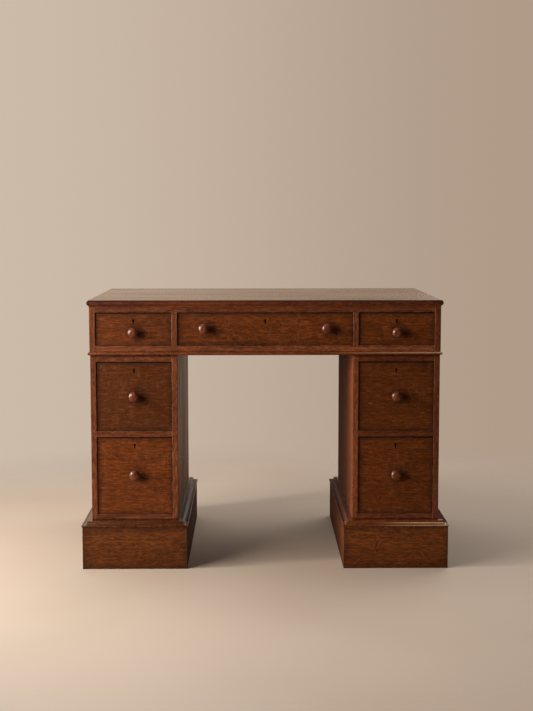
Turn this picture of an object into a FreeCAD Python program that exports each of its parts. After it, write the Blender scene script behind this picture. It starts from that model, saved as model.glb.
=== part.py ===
import FreeCAD, Part
import os
from collections import namedtuple
from math import atan2, cos, pi, sin
from FreeCAD import Vector

# Kneehole pedestal desk in three sections: a top with a frieze of three drawers stands on two
# pedestals of two drawers each, and each pedestal is wrapped by a mitred plinth with a moulding.
# Axes: X to the sitter's right-hand pedestal as seen from the front, Y to the back, Z up.
# The origin is the middle of the footprint, on the floor. All sizes are millimetres.

# Whole desk
desk_height = 762.0
pedestal_width = 245.5
pedestal_depth = 628.0
kneehole_width = 494.5
arris = 1.0

# Desk top, with a rounded nose over a small cove on all four edges
top_thickness = 19.0
top_overhang = 6.0
top_rounding = 1.5
top_cove_height = 4.5
top_cove_foot = 0.6
top_cove_reach = 2.6
nose_middle_share = 0.42
lower_nose_out_share = 0.78
lower_nose_up_share = 0.36
cove_out_share = 0.25
cove_up_share = 0.72

# Frieze section
frieze_step = 1.5
frieze_side_thickness = 17.0
frieze_back_thickness = 14.0
frieze_top_rail_height = 15.5
frieze_opening_height = 94.0
frieze_bottom_rail_height = 26.5
frieze_rail_depth = 45.0
divider_width = 16.5
runner_reach = 20.0
end_runner_width = 24.0
guide_height = 25.0
bead_height = 8.5
bead_flat = 0.55
bead_lift = 0.3
locating_block_width = 60.0
locating_block_depth = 20.0
locating_block_height = 18.0

# Pedestal carcases
pedestal_side_thickness = 16.0
pedestal_back_thickness = 12.0
side_floor_gap = 3.0
pedestal_top_rail_height = 18.5
upper_opening_height = 197.5
middle_rail_height = 16.7
bottom_rail_height = 40.0
bottom_rail_show = 17.3
bottom_rail_thickness = 20.0
bottom_board_thickness = 14.0
pedestal_rail_depth = 45.0
pedestal_runner_width = 42.0
dust_panel_thickness = 6.0
dust_groove_depth = 7.0
groove_spare = 0.5
glue_block_size = 24.0
glue_block_height = 60.0

# Plinth boards and the moulding planted on their top edges
plinth_height = 118.0
plinth_thickness = 25.5
plinth_moulding_height = 17.0
moulding_proud = 2.7
moulding_flat = 12.5
moulding_shoulder = 1.6
moulding_cove_inset = 1.1
moulding_fillet_height = 2.8
moulding_nose_height = 4.6
cove_sag_share = 0.30

# Drawers
drawer_recess = 3.0
drawer_back_room = 53.0
drawer_side_gap = 1.0
drawer_top_gap = 1.5
drawer_seat_gap = 0.3
front_thickness = 20.0
front_arris = 0.8
front_lap = 5.0
drawer_side_thickness = 10.0
drawer_side_drop = 3.0
drawer_back_thickness = 9.0
drawer_back_drop = 7.0
drawer_bottom_thickness = 6.0
drawer_bottom_lift = 8.0
drawer_groove_depth = 4.0
tail_pitch = 44.0
pin_tip_width = 5.0
tail_slope_share = 1 / 6
stop_width = 30.0
stop_depth = 17.0
stop_height = 5.0
stop_gap = 0.3
stop_place_share = 0.28

# Turned knobs, each with a tenon in a blind hole in the drawer front
knob_radius = 14.5
knob_projection = 29.0
knob_tenon_radius = 5.0
knob_tenon_length = 12.0
knob_facets = 20
knob_outline_shares = [(0.66, 0), (0.66, 0.07), (0.43, 0.20), (0.47, 0.36), (0.88, 0.52),
                       (1, 0.68), (0.90, 0.85), (0.50, 1)]
end_knob_rise = -9.0
centre_knob_rise = 2.0
upper_knob_rise = 1.3
lower_knob_rise = 3.7
centre_knob_spacing = 345.4

# Till locks let into the backs of the drawer fronts, with bolts that rise into the rails
keyhole_drop = 26.0
keyhole_height = 12.5
keyhole_head_radius = 2.6
keyhole_slot_width = 3.0
keyway_depth = 5.0
lock_plate_width = 54.0
lock_plate_height = 40.0
lock_plate_thickness = 1.6
lock_case_width = 40.0
lock_case_height = 34.0
lock_case_depth = 8.5
selvedge_depth = 13.0
bolt_width = 16.0
bolt_thickness = 4.0
bolt_length = 16.0
bolt_travel = 8.0
bolt_slide_gap = 0.3
bolt_mortice_gap = 1.0

# Sizes and places that follow from the sizes above
frieze_height = frieze_top_rail_height + frieze_opening_height + frieze_bottom_rail_height
pedestal_height = desk_height - top_thickness - frieze_height
bead_reach = bead_flat + bead_height / 2
moulding_reach = plinth_thickness + moulding_proud
drawer_length = pedestal_depth - pedestal_back_thickness - drawer_recess - drawer_back_room
frieze_width = kneehole_width + 2 * pedestal_width + 2 * frieze_step
frieze_depth = pedestal_depth + 2 * frieze_step
top_underside = desk_height - top_thickness
frieze_opening_base = pedestal_height + frieze_bottom_rail_height
frieze_opening_top = top_underside - frieze_top_rail_height
frieze_inner_half = frieze_width / 2 - frieze_side_thickness
frieze_front = -frieze_depth / 2
frieze_back_inner = frieze_depth / 2 - frieze_back_thickness
pedestal_centre = (kneehole_width + pedestal_width) / 2
pedestal_front = -pedestal_depth / 2
pedestal_back_inner = pedestal_depth / 2 - pedestal_back_thickness
pedestal_opening_half = pedestal_width / 2 - pedestal_side_thickness
upper_opening_top = pedestal_height - pedestal_top_rail_height
upper_opening_base = upper_opening_top - upper_opening_height
lower_opening_top = upper_opening_base - middle_rail_height
lower_opening_base = plinth_height + plinth_moulding_height + bottom_rail_show
bolt_middle = front_thickness - lock_plate_thickness - lock_case_depth / 2

Opening = namedtuple("Opening", "name low high base top face knobs knob_rise")


def section_plane(out, up):
    """A point of a profile that is drawn across the desk, in the XZ plane."""
    return Vector(out, 0, up)


def side_plane(back, up):
    """A point of a profile that is seen from the side, in the YZ plane."""
    return Vector(0, back, up)


def floor_plane(right, back):
    """A point of an outline that is seen from above, in the XY plane."""
    return Vector(right, back, 0)


def face_of(plane, start, steps):
    """A face inside an outline: a step is an end point, or a point to curve through and an end."""
    edges = []
    here = start
    for step in steps + [start]:
        if isinstance(step[0], tuple):
            through, end = step
            edges.append(Part.Arc(plane(*here), plane(*through), plane(*end)).toShape())
        else:
            end = step
            edges.append(Part.LineSegment(plane(*here), plane(*end)).toShape())
        here = end
    return Part.Face(Part.Wire(edges))


def box(low, high):
    """A block between two opposite corners."""
    size = [far - near for near, far in zip(low, high)]
    return Part.makeBox(*size, Vector(*low))


def moved(shape, x=0, y=0, z=0):
    """A copy of a shape at another place."""
    copy = shape.copy()
    copy.translate(Vector(x, y, z))
    return copy


def save(name, solids):
    """Write one named piece, or a group of alike pieces, as one file."""
    shape = solids[0] if len(solids) == 1 else Part.makeCompound(solids)
    shape.exportStep(os.path.join("parts", name + ".step"))
    print(name, len(solids), round(shape.Volume), shape.isValid())


def mitred_ring(profile, width, depth, reach, height):
    """Four lengths of a profile round a rectangle, cut to meet on the corners' diagonals.

    The profile runs outward from the rectangle's edge in X and up in Z.
    """
    lengths = []
    for turn, (run, place) in enumerate([(width, (0, -depth / 2)), (depth, (width / 2, 0)),
                                         (width, (0, depth / 2)), (depth, (-width / 2, 0))]):
        blank = profile.extrude(Vector(0, run + 2 * reach, 0))
        blank.rotate(Vector(0, 0, 0), Vector(0, 0, 1), -90)
        blank = moved(blank, x=-run / 2 - reach)
        plan = face_of(floor_plane, (-run / 2, 0), [
            (run / 2, 0), (run / 2 + reach, -reach), (-run / 2 - reach, -reach)])
        piece = blank.common(plan.extrude(Vector(0, 0, height))).Solids[0]
        piece.rotate(Vector(0, 0, 0), Vector(0, 0, 1), 90 * turn)
        lengths.append(moved(piece, *place))
    return lengths


def upright_board(low_x, high_x, depth, base, top, outer):
    """A side board whose outer front and back corners are eased; outer is -1 or 1 along X."""
    inner_x, outer_x = (low_x, high_x) if outer > 0 else (high_x, low_x)
    plan = face_of(floor_plane, (inner_x, -depth / 2), [
        (outer_x - outer * arris, -depth / 2), (outer_x, arris - depth / 2),
        (outer_x, depth / 2 - arris), (outer_x - outer * arris, depth / 2),
        (inner_x, depth / 2)])
    return moved(plan.extrude(Vector(0, 0, top - base)), z=base)


def bolt_mortice(centre_x, face_y, opening_top):
    """The pocket in the underside of a rail that a lock's bolt rises into."""
    half_width = bolt_width / 2 + bolt_mortice_gap
    half_thickness = bolt_thickness / 2 + bolt_mortice_gap
    middle_y = face_y + drawer_recess + bolt_middle
    depth = bolt_travel + bolt_mortice_gap - drawer_top_gap
    return box((centre_x - half_width, middle_y - half_thickness, opening_top),
               (centre_x + half_width, middle_y + half_thickness, opening_top + depth))


def drawer_stops(opening):
    """Two blocks on the rail that the back of a drawer front comes to rest against."""
    middle = (opening.low + opening.high) / 2
    spread = (opening.high - opening.low) * stop_place_share
    near = opening.face + drawer_recess + front_thickness + stop_gap
    return [box((middle + side * spread - stop_width / 2, near, opening.base),
                (middle + side * spread + stop_width / 2, near + stop_depth,
                 opening.base + stop_height)) for side in (-1, 1)]


def edge_points(reach, sign):
    """Points up the moulded edge of the top, from its underside; sign is the end's direction.

    The upper round is a circle that is level where it meets the top's face.
    """
    def at(out, up):
        return (sign * (reach + out), up)

    nose_height = top_thickness - top_cove_height
    nose_middle = top_cove_height + nose_height * nose_middle_share
    round_width = top_overhang + top_rounding
    round_height = top_thickness - nose_middle
    lower_width = top_overhang - top_cove_reach
    lower_height = nose_middle - top_cove_height
    cove_width = top_cove_reach - top_cove_foot
    foot = at(top_cove_foot, 0)
    cove = at(top_cove_foot + cove_width * cove_out_share, top_cove_height * cove_up_share)
    throat = at(top_cove_reach, top_cove_height)
    lower = at(top_cove_reach + lower_width * lower_nose_out_share,
               top_cove_height + lower_height * lower_nose_up_share)
    nose = at(top_overhang, nose_middle)
    radius = (round_width ** 2 + round_height ** 2) / (2 * round_height)
    half_turn = atan2(round_width, radius - round_height) / 2
    upper = at(radius * sin(half_turn) - top_rounding,
               top_thickness - radius + radius * cos(half_turn))
    crown = at(-top_rounding, top_thickness)
    return foot, cove, throat, lower, nose, upper, crown


def top_section(reach):
    """The face of a cut through the top, moulded at both ends."""
    foot, cove, throat, lower, nose, upper, crown = edge_points(reach, 1)
    far = edge_points(reach, -1)
    return face_of(section_plane, foot, [
        (cove, throat), (lower, nose), (upper, crown), far[6],
        (far[5], far[4]), (far[3], far[2]), (far[1], far[0])])


def desk_top():
    """The top: the common space of two moulded boards that cross, so its corners are mitred."""
    overall = frieze_width + 2 * top_overhang
    across = top_section(frieze_width / 2).extrude(Vector(0, overall, 0))
    along = top_section(frieze_depth / 2).extrude(Vector(0, overall, 0))
    across = moved(across, y=-overall / 2)
    along = moved(along, y=-overall / 2)
    along.rotate(Vector(0, 0, 0), Vector(0, 0, 1), 90)
    return moved(across.common(along).Solids[0], z=top_underside)


def frieze_rails(openings):
    """The two front rails of the frieze, with the stops of its drawers."""
    back = frieze_front + frieze_rail_depth
    top_rail = box((-frieze_inner_half, frieze_front, frieze_opening_top),
                   (frieze_inner_half, back, top_underside))
    bottom_rail = box((-frieze_inner_half, frieze_front, pedestal_height),
                      (frieze_inner_half, back, frieze_opening_base))
    stops = []
    for opening in openings:
        middle = (opening.low + opening.high) / 2
        top_rail = top_rail.cut(bolt_mortice(middle, opening.face, opening.top))
        stops += drawer_stops(opening)
    return [top_rail.Solids[0], bottom_rail] + stops


def frieze_dividers():
    """The short uprights between the frieze drawers."""
    near = kneehole_width / 2
    far = near + divider_width
    return [box((min(side * near, side * far), frieze_front, frieze_opening_base),
                (max(side * near, side * far), frieze_front + frieze_rail_depth,
                 frieze_opening_top)) for side in (-1, 1)]


def frieze_runners():
    """Runners under the frieze drawers, with guides at the dividers, and kickers over them."""
    start = frieze_front + frieze_rail_depth
    run = Vector(0, frieze_back_inner - start, 0)
    near = kneehole_width / 2
    far = near + divider_width
    pieces = []
    for side in (-1, 1):
        tee = face_of(section_plane, (side * (near - runner_reach), pedestal_height), [
            (side * (far + runner_reach), pedestal_height),
            (side * (far + runner_reach), frieze_opening_base),
            (side * far, frieze_opening_base),
            (side * far, frieze_opening_base + guide_height),
            (side * near, frieze_opening_base + guide_height),
            (side * near, frieze_opening_base),
            (side * (near - runner_reach), frieze_opening_base)])
        pieces.append(moved(tee.extrude(run), y=start))
        outer = side * frieze_inner_half
        inner = outer - side * end_runner_width
        spans = [(inner, outer, pedestal_height, frieze_opening_base),
                 (inner, outer, frieze_opening_top, top_underside),
                 (side * (near - runner_reach), side * (far + runner_reach),
                  frieze_opening_top, top_underside)]
        for low, high, base, top in spans:
            pieces.append(box((min(low, high), start, base),
                              (max(low, high), frieze_back_inner, top)))
    return pieces


def frieze_bead():
    """The half-round bead round the foot of the frieze."""
    profile = face_of(section_plane, (0, 0), [
        (bead_flat, 0), ((bead_reach, bead_height / 2), (bead_flat, bead_height)),
        (0, bead_height)])
    ring = mitred_ring(profile, frieze_width, frieze_depth, bead_reach, bead_height)
    return [moved(length, z=pedestal_height + bead_lift) for length in ring]


def locating_blocks():
    """Blocks on the pedestal tops that the frieze drops over, two to a pedestal."""
    half = locating_block_width / 2
    ends = [frieze_front + frieze_rail_depth, frieze_back_inner - locating_block_depth]
    return [box((side * pedestal_centre - half, end, pedestal_height),
                (side * pedestal_centre + half, end + locating_block_depth,
                 pedestal_height + locating_block_height))
            for side in (-1, 1) for end in ends]


def pedestal_rails(centre, openings):
    """The three front rails of one pedestal, with the stops of its drawers."""
    left = centre - pedestal_opening_half
    right = centre + pedestal_opening_half
    back = pedestal_front + pedestal_rail_depth
    top_rail = box((left, pedestal_front, upper_opening_top), (right, back, pedestal_height))
    middle_rail = box((left, pedestal_front, lower_opening_top),
                      (right, back, upper_opening_base))
    bottom_rail = box((left, pedestal_front, lower_opening_base - bottom_rail_height),
                      (right, pedestal_front + bottom_rail_thickness, lower_opening_base))
    upper, lower = openings
    top_rail = top_rail.cut(bolt_mortice(centre, upper.face, upper.top))
    middle_rail = middle_rail.cut(bolt_mortice(centre, lower.face, lower.top))
    middle_rail = middle_rail.cut(dust_panel(centre, groove_spare))
    return [top_rail.Solids[0], middle_rail.Solids[0], bottom_rail] + (
        drawer_stops(upper) + drawer_stops(lower))


def dust_panel(centre, spare=0):
    """The thin panel between the two drawers; spare makes it the shape that cuts its grooves."""
    half = pedestal_opening_half - pedestal_runner_width + dust_groove_depth - groove_spare
    base = lower_opening_top + (middle_rail_height - dust_panel_thickness) / 2
    start = pedestal_front + pedestal_rail_depth - dust_groove_depth + groove_spare
    return box((centre - half - spare, start - spare, base),
               (centre + half + spare, pedestal_back_inner, base + dust_panel_thickness))


def pedestal_runners(centre):
    """The two runners that carry the upper drawer and hold the dust panel between them."""
    start = pedestal_front + pedestal_rail_depth
    groove = dust_panel(centre, groove_spare)
    pieces = []
    for side in (-1, 1):
        outer = centre + side * pedestal_opening_half
        inner = outer - side * pedestal_runner_width
        blank = box((min(inner, outer), start, lower_opening_top),
                    (max(inner, outer), pedestal_back_inner, upper_opening_base))
        pieces.append(blank.cut(groove).Solids[0])
    return pieces


def pedestal_boards(centre):
    """The top board, dust panel and bottom board of one pedestal, with four glue blocks."""
    left = centre - pedestal_opening_half
    right = centre + pedestal_opening_half
    top_board = box((left, pedestal_front + pedestal_rail_depth, upper_opening_top),
                    (right, pedestal_back_inner, pedestal_height))
    under = lower_opening_base - bottom_board_thickness
    front = pedestal_front + bottom_rail_thickness
    bottom_board = box((left, front, under), (right, pedestal_back_inner, lower_opening_base))
    blocks = [box((x, y, under - glue_block_height),
                  (x + glue_block_size, y + glue_block_size, under))
              for x in (left, right - glue_block_size)
              for y in (front, pedestal_back_inner - glue_block_size)]
    return [top_board, dust_panel(centre), bottom_board] + blocks


def plinth_boards():
    """The four mitred boards of a plinth, round a pedestal that is centred on the origin."""
    profile = face_of(section_plane, (0, 0), [
        (plinth_thickness, 0), (plinth_thickness, plinth_height), (0, plinth_height)])
    return mitred_ring(profile, pedestal_width, pedestal_depth, plinth_thickness, plinth_height)


def plinth_moulding():
    """The four mitred lengths of moulding: a flat, a cove and a rounded nose over a fillet."""
    height = plinth_moulding_height
    shoulder = (moulding_flat + moulding_shoulder, height - moulding_shoulder)
    nose_foot = (plinth_thickness, moulding_fillet_height)
    cove_end = (plinth_thickness - moulding_cove_inset,
                moulding_fillet_height + moulding_nose_height)
    cove_middle = tuple((a + b) / 2 for a, b in zip(shoulder, cove_end))
    sag = (cove_end[0] - shoulder[0]) * cove_sag_share
    cove = (cove_middle[0] - sag, cove_middle[1] - sag)
    nose = (moulding_reach, (cove_end[1] + nose_foot[1]) / 2)
    profile = face_of(section_plane, (0, 0), [
        (plinth_thickness, 0), nose_foot, (nose, cove_end), (cove, shoulder),
        (moulding_flat, height), (0, height)])
    ring = mitred_ring(profile, pedestal_width, pedestal_depth, moulding_reach, height)
    return [moved(length, z=plinth_height) for length in ring]


def dovetail_edge(shoulder, tip, base, height):
    """Points up a board's end, whose tails reach from the shoulder line to the tip line."""
    count = max(2, round(height / tail_pitch))
    pitch = height / count
    flare = abs(tip - shoulder) * tail_slope_share
    points = []
    for index in range(count):
        low = base + index * pitch + pin_tip_width / 2
        high = base + (index + 1) * pitch - pin_tip_width / 2
        points += [(shoulder, low + flare), (tip, low), (tip, high), (shoulder, high - flare)]
    return points


def drawer_side(height, back_base, back_top):
    """One side board of a drawer: lapped tails at the front and through tails at the back."""
    top = height - drawer_side_drop
    inner_end = drawer_length - drawer_back_thickness
    tails = dovetail_edge(front_thickness, front_lap, 0, top)
    back_tails = dovetail_edge(inner_end, drawer_length, back_base, back_top - back_base)
    steps = tails + [(front_thickness, top), (drawer_length, top), (drawer_length, back_top),
                     (inner_end, back_top)]
    steps += back_tails[::-1] + [(inner_end, back_base), (drawer_length, back_base),
                                 (drawer_length, 0)]
    face = face_of(side_plane, (front_thickness, 0), steps)
    return face.extrude(Vector(drawer_side_thickness, 0, 0))


def drawer_bottom(width, spare=0):
    """The bottom board, in grooves on three sides; spare makes it the shape that cuts them."""
    half = width / 2 - drawer_side_thickness + drawer_groove_depth - groove_spare
    start = front_thickness - drawer_groove_depth + groove_spare
    return box((-half - spare, start - spare, drawer_bottom_lift),
               (half + spare, drawer_length, drawer_bottom_lift + drawer_bottom_thickness))


def drawer_box(width, height):
    """The two sides, back and bottom of a drawer, jointed to each other."""
    back_base = drawer_bottom_lift + drawer_bottom_thickness
    back_top = height - drawer_side_drop - drawer_back_drop
    blank = drawer_side(height, back_base, back_top)
    groove = drawer_bottom(width, groove_spare)
    sides = [moved(blank, x=-width / 2), moved(blank, x=width / 2 - drawer_side_thickness)]
    back = box((-width / 2, drawer_length - drawer_back_thickness, back_base),
               (width / 2, drawer_length, back_top))
    for side in sides:
        back = back.cut(side)
    return [side.cut(groove).Solids[0] for side in sides] + [back.Solids[0], drawer_bottom(width)]


def keyhole(centre_z, start, depth):
    """A keyhole's shape: a round head over a straight slot."""
    head_z = centre_z + keyhole_height / 2 - keyhole_head_radius
    head = Part.makeCylinder(keyhole_head_radius, depth, Vector(0, start, head_z),
                             Vector(0, 1, 0))
    slot = box((-keyhole_slot_width / 2, start, centre_z - keyhole_height / 2),
               (keyhole_slot_width / 2, start + depth, head_z))
    return head.fuse(slot).removeSplitter()


def lock_blank(top):
    """The outside of a lock: its case, its back plate and the selvedge in the front's top edge."""
    inner = front_thickness - lock_plate_thickness
    plate = box((-lock_plate_width / 2, inner, top - lock_plate_height),
                (lock_plate_width / 2, front_thickness, top))
    case = box((-lock_case_width / 2, inner - lock_case_depth, top - lock_case_height),
               (lock_case_width / 2, inner, top))
    selvedge = box((-lock_plate_width / 2, front_thickness - selvedge_depth,
                    top - lock_plate_thickness), (lock_plate_width / 2, front_thickness, top))
    return plate.fuse([case, selvedge]).removeSplitter()


def bolt_block(top, spare=0):
    """A lock's bolt at rest; spare makes it the slot that the bolt slides in."""
    half_width = bolt_width / 2 + spare
    half_thickness = bolt_thickness / 2 + spare
    return box((-half_width, bolt_middle - half_thickness, top - bolt_length - spare),
               (half_width, bolt_middle + half_thickness, top))


def lock_body(top, keyhole_z):
    """A lock with its bolt's slot and its keyway."""
    case_front = front_thickness - lock_plate_thickness - lock_case_depth
    body = lock_blank(top).cut(bolt_block(top, bolt_slide_gap))
    return body.cut(keyhole(keyhole_z, case_front, keyway_depth)).Solids[0]


def knob():
    """A turned knob with its tenon, pointing forward; narrow flat facets follow the turning."""
    outline = [(knob_tenon_radius, knob_tenon_length), (knob_tenon_radius, 0)]
    outline += [(radius_share * knob_radius, -out_share * knob_projection)
                for radius_share, out_share in knob_outline_shares]
    turns = [2 * pi * index / knob_facets for index in range(knob_facets + 1)]
    rings = [[Vector(radius * cos(turn), back, radius * sin(turn)) for turn in turns]
             for radius, back in outline]
    faces = [Part.Face(Part.makePolygon(ring)) for ring in (rings[0], rings[-1])]
    for near, far in zip(rings[:-1], rings[1:]):
        for index in range(knob_facets):
            corners = [near[index], near[index + 1], far[index + 1], far[index], near[index]]
            faces.append(Part.Face(Part.makePolygon(corners)))
    return Part.makeSolid(Part.makeShell(faces)).removeSplitter()


def drawer_front(width, height, opening, keyhole_z, knob_z):
    """A drawer front, cut for its sides' tails, its bottom, lock, keyhole and knobs."""
    board = box((-width / 2, 0, 0), (width / 2, front_thickness, height))
    eased = [edge for edge in board.Edges
             if edge.BoundBox.YMax < front_arris and edge.BoundBox.YLength < front_arris]
    board = board.makeChamfer(front_arris, eased)
    cutters = drawer_box(width, height)[:2]
    cutters += [drawer_bottom(width, groove_spare), lock_blank(height),
                keyhole(keyhole_z, 0, front_thickness - lock_plate_thickness)]
    cutters += [moved(knob(), x=place, z=knob_z) for place in opening.knobs]
    for cutter in cutters:
        board = board.cut(cutter)
    return board.removeSplitter().Solids[0]


def save_drawer(opening):
    """Write the pieces of one drawer, seated in its opening."""
    width = opening.high - opening.low - 2 * drawer_side_gap
    height = opening.top - opening.base - drawer_top_gap - drawer_seat_gap
    keyhole_z = height + drawer_top_gap - keyhole_drop
    knob_z = (opening.top - opening.base) / 2 - drawer_seat_gap + opening.knob_rise
    place = ((opening.low + opening.high) / 2, opening.face + drawer_recess,
             opening.base + drawer_seat_gap)
    pieces = {
        "front": [drawer_front(width, height, opening, keyhole_z, knob_z)],
        "box": drawer_box(width, height),
        "knobs" if len(opening.knobs) > 1 else "knob": [
            moved(knob(), x=along, z=knob_z) for along in opening.knobs],
        "lock": [lock_body(height, keyhole_z)],
        "bolt": [bolt_block(height)],
    }
    for part_name, solids in pieces.items():
        save(opening.name + "_" + part_name, [moved(solid, *place) for solid in solids])


def pedestal_openings(name, centre):
    """The upper and lower drawer openings of one pedestal."""
    low = centre - pedestal_opening_half
    high = centre + pedestal_opening_half
    return [Opening(name + "_upper_drawer", low, high, upper_opening_base, upper_opening_top,
                    pedestal_front, [0], upper_knob_rise),
            Opening(name + "_lower_drawer", low, high, lower_opening_base, lower_opening_top,
                    pedestal_front, [0], lower_knob_rise)]


def frieze_openings():
    """The three drawer openings of the frieze, from left to right."""
    near = kneehole_width / 2
    far = near + divider_width
    spans = [("frieze_left_drawer", -frieze_inner_half, -far, [0], end_knob_rise),
             ("frieze_centre_drawer", -near, near,
              [-centre_knob_spacing / 2, centre_knob_spacing / 2], centre_knob_rise),
             ("frieze_right_drawer", far, frieze_inner_half, [0], end_knob_rise)]
    return [Opening(name, low, high, frieze_opening_base, frieze_opening_top, frieze_front,
                    knobs, rise) for name, low, high, knobs, rise in spans]


def save_frieze():
    """Write the desk top, the frieze carcase and its drawers."""
    openings = frieze_openings()
    save("desk_top", [desk_top()])
    for name, outer in (("left", -1), ("right", 1)):
        ends = sorted([outer * frieze_inner_half, outer * frieze_width / 2])
        save("frieze_side_" + name, [upright_board(*ends, frieze_depth, pedestal_height,
                                                   top_underside, outer)])
    save("frieze_back", [box((-frieze_inner_half, frieze_back_inner, pedestal_height),
                             (frieze_inner_half, frieze_depth / 2, top_underside))])
    save("frieze_rails", frieze_rails(openings))
    save("frieze_dividers", frieze_dividers())
    save("frieze_runners", frieze_runners())
    save("frieze_bead", frieze_bead())
    save("locating_blocks", locating_blocks())
    for opening in openings:
        save_drawer(opening)


def save_pedestal(name, outer):
    """Write one pedestal: its carcase, plinth, moulding and drawers; outer is -1 or 1."""
    centre = outer * pedestal_centre
    openings = pedestal_openings(name, centre)
    for place, facing in (("outer", outer), ("inner", -outer)):
        ends = sorted([centre + facing * pedestal_opening_half,
                       centre + facing * pedestal_width / 2])
        board = upright_board(*ends, pedestal_depth, side_floor_gap, pedestal_height, facing)
        save(name + "_" + place + "_side", [board])
    back = box((centre - pedestal_opening_half, pedestal_back_inner, side_floor_gap),
               (centre + pedestal_opening_half, pedestal_depth / 2, pedestal_height))
    save(name + "_back", [back])
    save(name + "_rails", pedestal_rails(centre, openings))
    save(name + "_boards", pedestal_boards(centre))
    save(name + "_runners", pedestal_runners(centre))
    save(name + "_plinth", [moved(board, x=centre) for board in plinth_boards()])
    save(name + "_plinth_moulding", [moved(length, x=centre) for length in plinth_moulding()])
    for opening in openings:
        save_drawer(opening)


os.makedirs("parts", exist_ok=True)
save_frieze()
save_pedestal("left", -1)
save_pedestal("right", 1)
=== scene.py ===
import logging
from dataclasses import dataclass, replace
from enum import Enum
from functools import reduce
from math import asin, atan2, cos, degrees, pi, sin, sqrt
from typing import Sequence, Union

import bmesh
import bpy
from mathutils import Matrix, Vector


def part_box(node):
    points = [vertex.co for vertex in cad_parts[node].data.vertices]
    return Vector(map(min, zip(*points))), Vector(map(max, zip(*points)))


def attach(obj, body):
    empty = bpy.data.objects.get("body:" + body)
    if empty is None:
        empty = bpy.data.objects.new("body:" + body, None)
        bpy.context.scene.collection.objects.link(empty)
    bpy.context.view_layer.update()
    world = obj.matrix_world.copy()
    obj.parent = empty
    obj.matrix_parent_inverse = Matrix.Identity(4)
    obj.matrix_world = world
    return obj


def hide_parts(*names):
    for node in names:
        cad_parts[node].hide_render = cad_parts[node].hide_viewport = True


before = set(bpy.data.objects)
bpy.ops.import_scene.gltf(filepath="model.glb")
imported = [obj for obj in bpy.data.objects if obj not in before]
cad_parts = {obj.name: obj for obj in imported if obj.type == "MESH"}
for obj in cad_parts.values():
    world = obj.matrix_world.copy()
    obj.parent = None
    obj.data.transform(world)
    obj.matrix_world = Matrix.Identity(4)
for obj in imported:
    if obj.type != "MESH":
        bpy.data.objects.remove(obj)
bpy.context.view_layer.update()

# The visual model of the kneehole desk. Lengths are metres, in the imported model's own frame:
# X to the right seen from the front, Y to the back, Z up from the floor.

MM = 0.001
CARCASE = "desk_carcase"

Point = tuple[float, float]
Triple = tuple[float, float, float]
Paint = tuple[float, float, float, float]
WHITE: Paint = (1.0, 1.0, 1.0, 1.0)
BLACK: Paint = (0.0, 0.0, 0.0, 1.0)

# Rails have their arrises rounded along their length, and not at the ends, which meet boards.
RAIL_LEAN: Triple = (0.0, 4.0, 4.0)

logging.basicConfig(level=logging.INFO, format="%(message)s")
log = logging.getLogger("desk")


def tone(red: int, green: int, blue: int) -> Paint:
    """Turn a colour as it is seen on a screen into the renderer's linear light.

    Args:
        red: Red from 0 to 255.
        green: Green from 0 to 255.
        blue: Blue from 0 to 255.

    Returns:
        Linear red, green and blue, with an alpha of 1.
    """
    def linear(level: int) -> float:
        """Undo the screen's curve for one channel."""
        share = level / 255
        return share / 12.92 if share <= 0.04045 else ((share + 0.055) / 1.055) ** 2.4

    return linear(red), linear(green), linear(blue), 1.0


class Signal:
    """A value that varies over a surface, with shader maths written as Python expressions."""

    def __init__(self, net: "ShaderNet", socket: bpy.types.NodeSocket) -> None:
        """Wrap one output socket of a net."""
        self.net = net
        self.socket = socket

    def combine(self, operation: str, *parts: "Operand") -> "Signal":
        """The result of a Math node's operation on values, given in order."""
        node = self.net.add("ShaderNodeMath", {"operation": operation}, dict(enumerate(parts)))
        return Signal(self.net, node.outputs[0])

    def __add__(self, other: "Operand") -> "Signal":
        """Add."""
        return self.combine("ADD", self, other)

    def __sub__(self, other: "Operand") -> "Signal":
        """Subtract."""
        return self.combine("SUBTRACT", self, other)

    def __rsub__(self, other: "Operand") -> "Signal":
        """Subtract from a number."""
        return self.combine("SUBTRACT", other, self)

    def __mul__(self, other: "Operand") -> "Signal":
        """Multiply."""
        return self.combine("MULTIPLY", self, other)

    __radd__ = __add__
    __rmul__ = __mul__

    def __abs__(self) -> "Signal":
        """Drop the sign."""
        return self.combine("ABSOLUTE", self)

    def least(self, other: "Operand") -> "Signal":
        """The smaller of two values."""
        return self.combine("MINIMUM", self, other)

    def most(self, other: "Operand") -> "Signal":
        """The larger of two values."""
        return self.combine("MAXIMUM", self, other)

    def above(self, other: "Operand") -> "Signal":
        """One where this value is the larger, and zero elsewhere."""
        return self.combine("GREATER_THAN", self, other)

    def rise(self, low: float, high: float) -> "Signal":
        """Climb smoothly from 0 at one value to 1 at another.

        Args:
            low: The value where the climb starts.
            high: The value where it ends, which may be the smaller of the two.

        Returns:
            A share from 0 to 1.
        """
        node = self.net.add("ShaderNodeMapRange", {"interpolation_type": "SMOOTHSTEP"},
                            {0: self, 1: low, 2: high})
        return Signal(self.net, node.outputs[0])


class Place(Signal):
    """A position on the surface, whose arithmetic goes through Vector Math."""

    def combine(self, operation: str, *parts: "Operand") -> "Place":
        """Work out one operation on vectors.

        Args:
            operation: The Vector Math node's operation.
            parts: Its inputs in order.

        Returns:
            The result.
        """
        node = self.net.add("ShaderNodeVectorMath", {"operation": operation},
                            dict(enumerate(parts)))
        return Place(self.net, node.outputs[0])

    def parts(self) -> tuple[Signal, Signal, Signal]:
        """The three coordinates."""
        node = self.net.add("ShaderNodeSeparateXYZ", {}, {0: self})
        return tuple(Signal(self.net, out) for out in node.outputs)


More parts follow.
